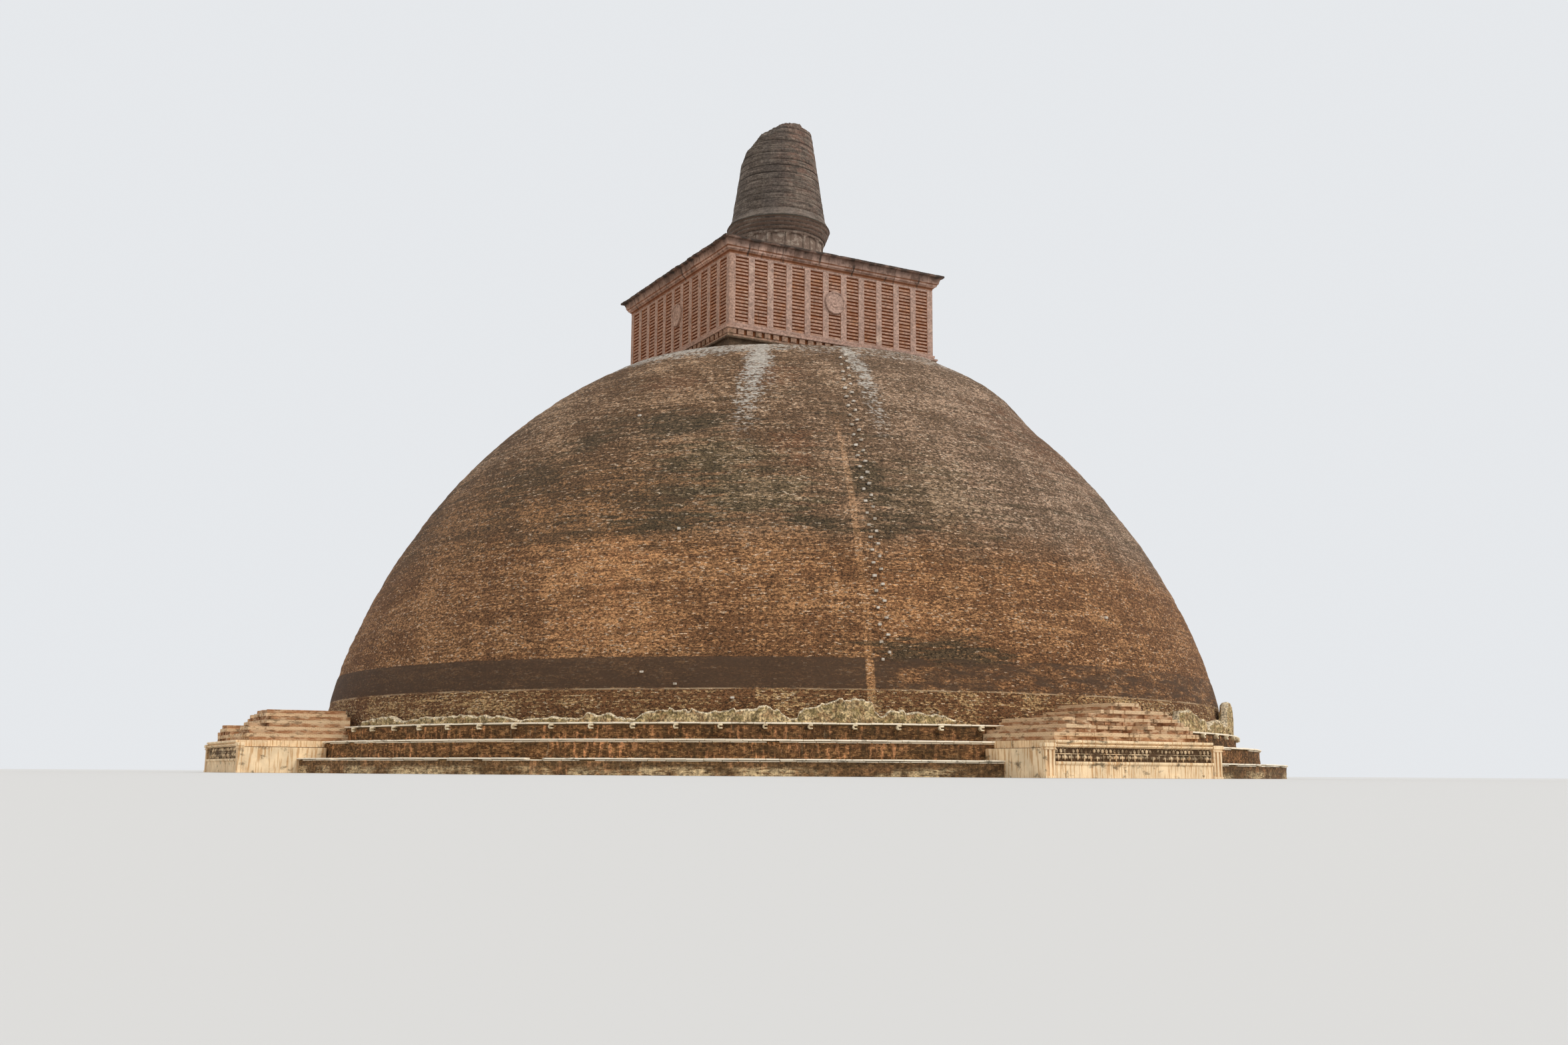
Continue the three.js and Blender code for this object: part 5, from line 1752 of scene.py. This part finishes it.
    def cornice(self):
        """Moulded step, overhanging slab and flat roof."""
        frame, ledge, face = FRAME_HALF, LEDGE_HALF, CORNICE_HALF - 0.33
        half = [frame, frame + 0.02, frame, BAND_HALF - 0.03, BAND_HALF + 0.04, ledge - 0.06, ledge]
        height = PANELS_TOP + (SLAB_FOOT - PANELS_TOP) * np.array([0, 0.2, 0.36, 0.4, 0.6, 0.68, 1.0])
        wear = worn_square(0.02, 112)
        self.course("cornice_moulding", half, height, 90, wear, "Cornice Plaster", "cornice_step")
        half = [
            ledge + 0.08, ledge + 0.16, (ledge + face) / 2 + 0.04, face - 0.02, face, CORNICE_HALF - 0.03,
            CORNICE_HALF, CORNICE_HALF, CORNICE_HALF - 0.05, CORNICE_HALF - 0.5, 10.0, 7.0,
        ]
        share = np.array([0, 0.08, 0.36, 0.62, 0.7, 0.74, 0.79, 0.93, 0.98, 1.0, 1.0, 1.0])
        height = SLAB_FOOT + (ROOF - SLAB_FOOT) * share
        self.course("cornice_blocks", half, height, 208, slab_wear, "Cornice Plaster", "cornice_slab")


class STUPA_OT_drum(bpy.types.Operator):
    """Round drum with sunk panels, and the corbelled rings above it"""

    bl_idname = "stupa.drum"
    bl_label = "Drum and corbels"

    def execute(self, context):
        self.panels()
        self.corbels()
        return {"FINISHED"}

    def panels(self):
        """The wall on a grid of bearings and heights: its reach is drawn in over each panel, up to a
        flat arch, and a groove runs down beside each post. The mesh carries the grooves and the arch
        tops as marks, which the material paints dark as painted shade."""
        bearing = turns_round(DRUM_PANELS * 24)
        share = ((np.degrees(bearing) - DRUM_TURN) / (360 / DRUM_PANELS)) % 1.0
        arc = np.minimum(share, 1 - share) * TAU * 5.2 / DRUM_PANELS
        post = 1 - step(arc, DRUM_POST / 2 - 0.02, DRUM_POST / 2 + 0.05)
        # Grooves beside each post, stronger on one side; their marks become painted shade.
        groove = np.exp(-(((share - 0.93) / 0.018) ** 2)) + 0.6 * np.exp(-(((share - 0.07) / 0.014) ** 2))
        height = np.concatenate([
            np.linspace(ROOF, ROOF + 0.35, 4),
            np.linspace(ROOF + 0.36, CORBEL_FOOT - 1.0, 20),
            np.linspace(CORBEL_FOOT - 0.92, CORBEL_FOOT - 0.3, 9),
            np.linspace(CORBEL_FOOT - 0.29, CORBEL_FOOT, 4),
        ])[:, None]
        foot = 1 - step(height, ROOF + 0.34, ROOF + 0.37)
        head = step(height, CORBEL_FOOT - 0.3, CORBEL_FOOT - 0.28)
        arch = CORBEL_FOOT - 0.36 - 0.5 * (2 * share - 1) ** 4
        body = DRUM_R - 0.15 * ((1 - post) * (1 - step(height, arch - 0.05, arch + 0.05)))
        reach = body + foot * (DRUM_FOOT_R - body) + head * (DRUM_HEAD_R - body)
        points = polar(reach, bearing, height)
        reach = reach + 0.025 * rough(points, (0.5, 0.5, 0.5), 190) - 0.03
        strong = np.clip(0.7 + 0.6 * wave(points, (0.5, 0.5, 1.2), 192), 0, 1)
        cut = groove * (1 - foot) * (1 - head) * strong
        # The arch tops are marked too, for painted shade.
        edge = np.exp(-(((height - arch) / 0.06) ** 2)) * (1 - post)
        shape = Shape()
        shape.grid(polar(reach - 0.07 * cut, bearing, height), mark=np.maximum(cut, 0.5 * edge))
        place("drum_panels", shape, "Drum Plaster", ("drum",), 40.0)

    def corbels(self):
        """The corbelled rings: a line that widens upwards with a roll for each ring, turned."""
        share = np.linspace(0, 1, 31)
        reach = CORBEL_R + (SPIRE_RIM - 0.1 - CORBEL_R) * share**0.9
        reach = reach + 0.04 * np.abs(np.sin(CORBELS * math.pi * share))
        height = CORBEL_FOOT + (SPIRE_FOOT - CORBEL_FOOT) * share
        shape = Shape()
        shape.lathe(reach, height, 240, lambda points: 0.03 * rough(points, (0.45, 0.45, 0.3), 191) - 0.01)
        place("corbel_rings", shape, "Spire Brick", ("spire_corbels",), 30.0)


def spire_reach(z):
    """Reach of the cone at a height: a straight taper above, flaring to the rim at the foot."""
    neck_top = SPIRE_FOOT + NECK_TALL
    cone = NECK - TAPER * (z - neck_top)
    share = np.clip((neck_top - z) / NECK_TALL, 0, 1)
    return np.where(z >= neck_top, cone, NECK + (SPIRE_RIM - NECK) * share**1.5)


def break_height(x, y):
    """Height of the broken top over the plan: the outline the viewer sees, falling off in front and
    behind, and noise."""
    turn = math.radians(VIEW_BEARING)
    right = x * math.cos(turn) - y * math.sin(turn)
    deep = x * math.sin(turn) + y * math.cos(turn)
    top = SPIRE_TOP - np.interp(right, *np.array(BREAK_LINE).T) - 0.1 * deep**2
    return np.minimum(top + 0.1 * rough(xyz(x, y, 0.0), (0.9, 0.9, 1), 200), SPIRE_TOP - 0.02)


def broken_brick(x, y, top):
    """A height broken into courses: each patch of two bricks ends a course or two higher or lower."""
    cells = lattice(cell_of(x / 0.3), cell_of(y / 0.3), 0, 203)
    return np.minimum(np.round((top + 0.16 * cells) / 0.1) * 0.1, SPIRE_TOP - 0.02)


def break_rim(bearing):
    """Height of the break at each bearing: where the cone meets the broken top, found step by step."""
    rim = np.full(len(bearing), SPIRE_TOP - 3.0)
    steps = 60
    for _ in range(steps):
        rim = rim + 0.3 * (break_height(*plan(spire_reach(rim), bearing)) - rim)
    return broken_brick(*plan(spire_reach(rim), bearing), rim)


class STUPA_OT_spire(bpy.types.Operator):
    """Broken cone of ringed brickwork"""

    bl_idname = "stupa.spire"
    bl_label = "Spire"

    def execute(self, context):
        columns, cap = 288, 26
        bearing = turns_round(columns)
        rim = break_rim(bearing)

        # Eight rows to a ring up to the lowest point of the break, and even rows above.
        within = np.array([0, 0.06, 0.14, 0.3, 0.5, 0.7, 0.86, 0.94])
        tall = np.diff(RING_JOINTS)
        rows = SPIRE_FOOT + (RING_JOINTS[:-1, None] + tall[:, None] * within).ravel()
        rows = rows[rows < rim.min() - 0.15]
        upper = rows[-1] + (rim - rows[-1]) * np.linspace(0, 1, 64)[1:, None]
        height = np.concatenate([np.broadcast_to(rows[:, None], (len(rows), columns)), upper])

        # Each ring is a worn roll between two joints, which are deep in some places and gone in others.
        reach = spire_reach(height)
        points = polar(reach, bearing, height)
        ring = np.interp(height - SPIRE_FOOT, RING_JOINTS, np.arange(len(RING_JOINTS)))
        number = np.clip(cell_of(ring), 0, len(tall) - 1)
        ring = ring - number
        worn = 0.6 + 0.4 * wave(points, (2.5, 2.5, 1.2), 201)
        joint = 1 - step(np.minimum(ring, 1 - ring) * tall[number], 0.03, 0.13)
        strong = 0.55 + 0.45 * lattice(np.rint(ring + number).astype(np.int64), 2, 0, 206)
        joint = joint * strong * np.clip(0.75 + 0.6 * wave(points, (1.6, 1.6, 0.7), 204), 0.15, 1)
        joint = joint * (height > SPIRE_FOOT + 0.3)
        roll = 0.08 * np.sqrt(np.clip(1 - (2 * ring - 1) ** 4, 0, 1)) * worn
        reach = reach - 0.08 + roll - 0.045 * joint + 0.02 * rough(points, (0.7, 0.7, 0.2), 202)

        # The broken top, in rows from the rim to the axis.
        inward = reach[-1] * np.linspace(1, 0, cap, endpoint=False)[1:, None]
        x, y = plan(inward, bearing)
        top = xyz(x, y, broken_brick(x, y, break_height(x, y)))
        shape = Shape()
        # The joint mark becomes painted shade in the spire's material.
        shape.grid(np.concatenate([polar(reach, bearing, height), top]), mark=joint)
        place("spire_rings", shape, "Spire Brick", ("spire",), 50.0)
        return {"FINISHED"}


# Stage


def add_camera(scene):
    """The camera at the photograph's viewing angle: its directions are worked out in the viewer's
    frame and turned with it to the viewer's bearing."""
    sy, cy = math.sin(CAMERA_YAW), math.cos(CAMERA_YAW)
    sp, cp = math.sin(CAMERA_PITCH), math.cos(CAMERA_PITCH)
    sr, cr = math.sin(CAMERA_ROLL), math.cos(CAMERA_ROLL)
    ahead = np.array([sy * cp, cy * cp, sp])
    right = np.array([cy, -sy, 0.0])
    up = np.cross(right, ahead)
    right, up = cr * right + sr * up, -sr * right + cr * up
    turn = math.radians(-VIEW_BEARING)
    spin = np.array([[math.cos(turn), -math.sin(turn), 0], [math.sin(turn), math.cos(turn), 0], [0, 0, 1]])
    matrix = np.eye(4)
    matrix[:3, 0], matrix[:3, 1], matrix[:3, 2] = spin @ right, spin @ up, spin @ -ahead
    matrix[:3, 3] = spin @ np.array([0, -CAMERA_DISTANCE, CAMERA_HEIGHT]) * M
    data = bpy.data.cameras.new("Camera")
    data.sensor_width = SENSOR
    data.lens = SENSOR * FOCAL_PIXELS / IMAGE_WIDTH
    data.clip_start, data.clip_end = 0.01, 2000.0
    camera = bpy.data.objects.new("Camera", data)
    scene.collection.objects.link(camera)
    camera.matrix_world = Matrix(matrix.tolist())
    scene.camera = camera


def add_sun(scene, bearing, height):
    """A soft, slightly warm sun from a bearing and a height above the horizon, in degrees."""
    data = bpy.data.lights.new("Key", "SUN")
    data.energy = 1.7
    data.angle = math.radians(25.0)
    data.color = (1.0, 0.965, 0.92)
    sun = bpy.data.objects.new("Key", data)
    scene.collection.objects.link(sun)
    sun.rotation_euler = (math.radians(90 - height), 0.0, math.radians(bearing))


class STUPA_OT_stage(bpy.types.Operator):
    """Floor, soft light and camera"""

    bl_idname = "stupa.stage"
    bl_label = "Stage"

    def execute(self, context):
        scene = context.scene
        half = scene.stupa_sizes.floor / 2
        corners = np.array([(-1, -1, 0), (1, -1, 0), (1, 1, 0), (-1, 1, 0)]) * half - (0, 0, 0.001)
        mesh = bpy.data.meshes.new("floor")
        mesh.from_pydata(corners.tolist(), [], [(0, 1, 2, 3)])
        floor = bpy.data.objects.new("floor", mesh)
        scene.collection.objects.link(floor)
        n = start_material("Floor")
        surface = n.tree.nodes["Principled BSDF"].inputs
        n.put(surface["Base Color"], "floor")
        n.put(surface["Roughness"], 0.95)
        mesh.materials.append(bpy.data.materials["Floor"])
        world = bpy.data.worlds.new("World")
        world.use_nodes = True
        sky = world.node_tree.nodes["Background"].inputs
        sky["Color"].default_value = paint("sky")
        sky["Strength"].default_value = 1.0
        scene.world = world
        scene.view_settings.view_transform = "Standard"
        scene.view_settings.look = "None"
        add_sun(scene, 34.0, 44.0)
        add_camera(scene)
        return {"FINISHED"}


class STUPA_PT_panel(bpy.types.Panel):
    """Lists the pieces of the stupa and its settings"""

    bl_idname = "STUPA_PT_panel"
    bl_label = "Stupa"
    bl_space_type = "VIEW_3D"
    bl_region_type = "UI"
    bl_category = "Stupa"

    def draw(self, context):
        for operator in OPERATORS:
            self.layout.operator(operator.bl_idname)
        for group in (context.scene.stupa_sizes, context.scene.stupa_colours):
            for name in group.__annotations__:
                self.layout.prop(group, name)


OPERATORS = (
    STUPA_OT_stage, STUPA_OT_materials, STUPA_OT_terraces, STUPA_OT_copings, STUPA_OT_frontispieces,
    STUPA_OT_old_masonry, STUPA_OT_dome, STUPA_OT_step_stones, STUPA_OT_chamber, STUPA_OT_drum,
    STUPA_OT_spire,
)
CLASSES = (StupaSizes, StupaColours, *OPERATORS, STUPA_PT_panel)


def register():
    """Registers the classes and the settings."""
    for cls in CLASSES:
        bpy.utils.register_class(cls)
    bpy.types.Scene.stupa_sizes = PointerProperty(type=StupaSizes)
    bpy.types.Scene.stupa_colours = PointerProperty(type=StupaColours)


def unregister():
    """Takes the settings and the classes away again."""
    del bpy.types.Scene.stupa_colours
    del bpy.types.Scene.stupa_sizes
    for cls in reversed(CLASSES):
        bpy.utils.unregister_class(cls)


def main():
    """Builds every piece in order."""
    register()
    for operator in OPERATORS:
        family, name = operator.bl_idname.split(".")
        getattr(getattr(bpy.ops, family), name)()
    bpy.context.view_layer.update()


if __name__ == "__main__":
    main()
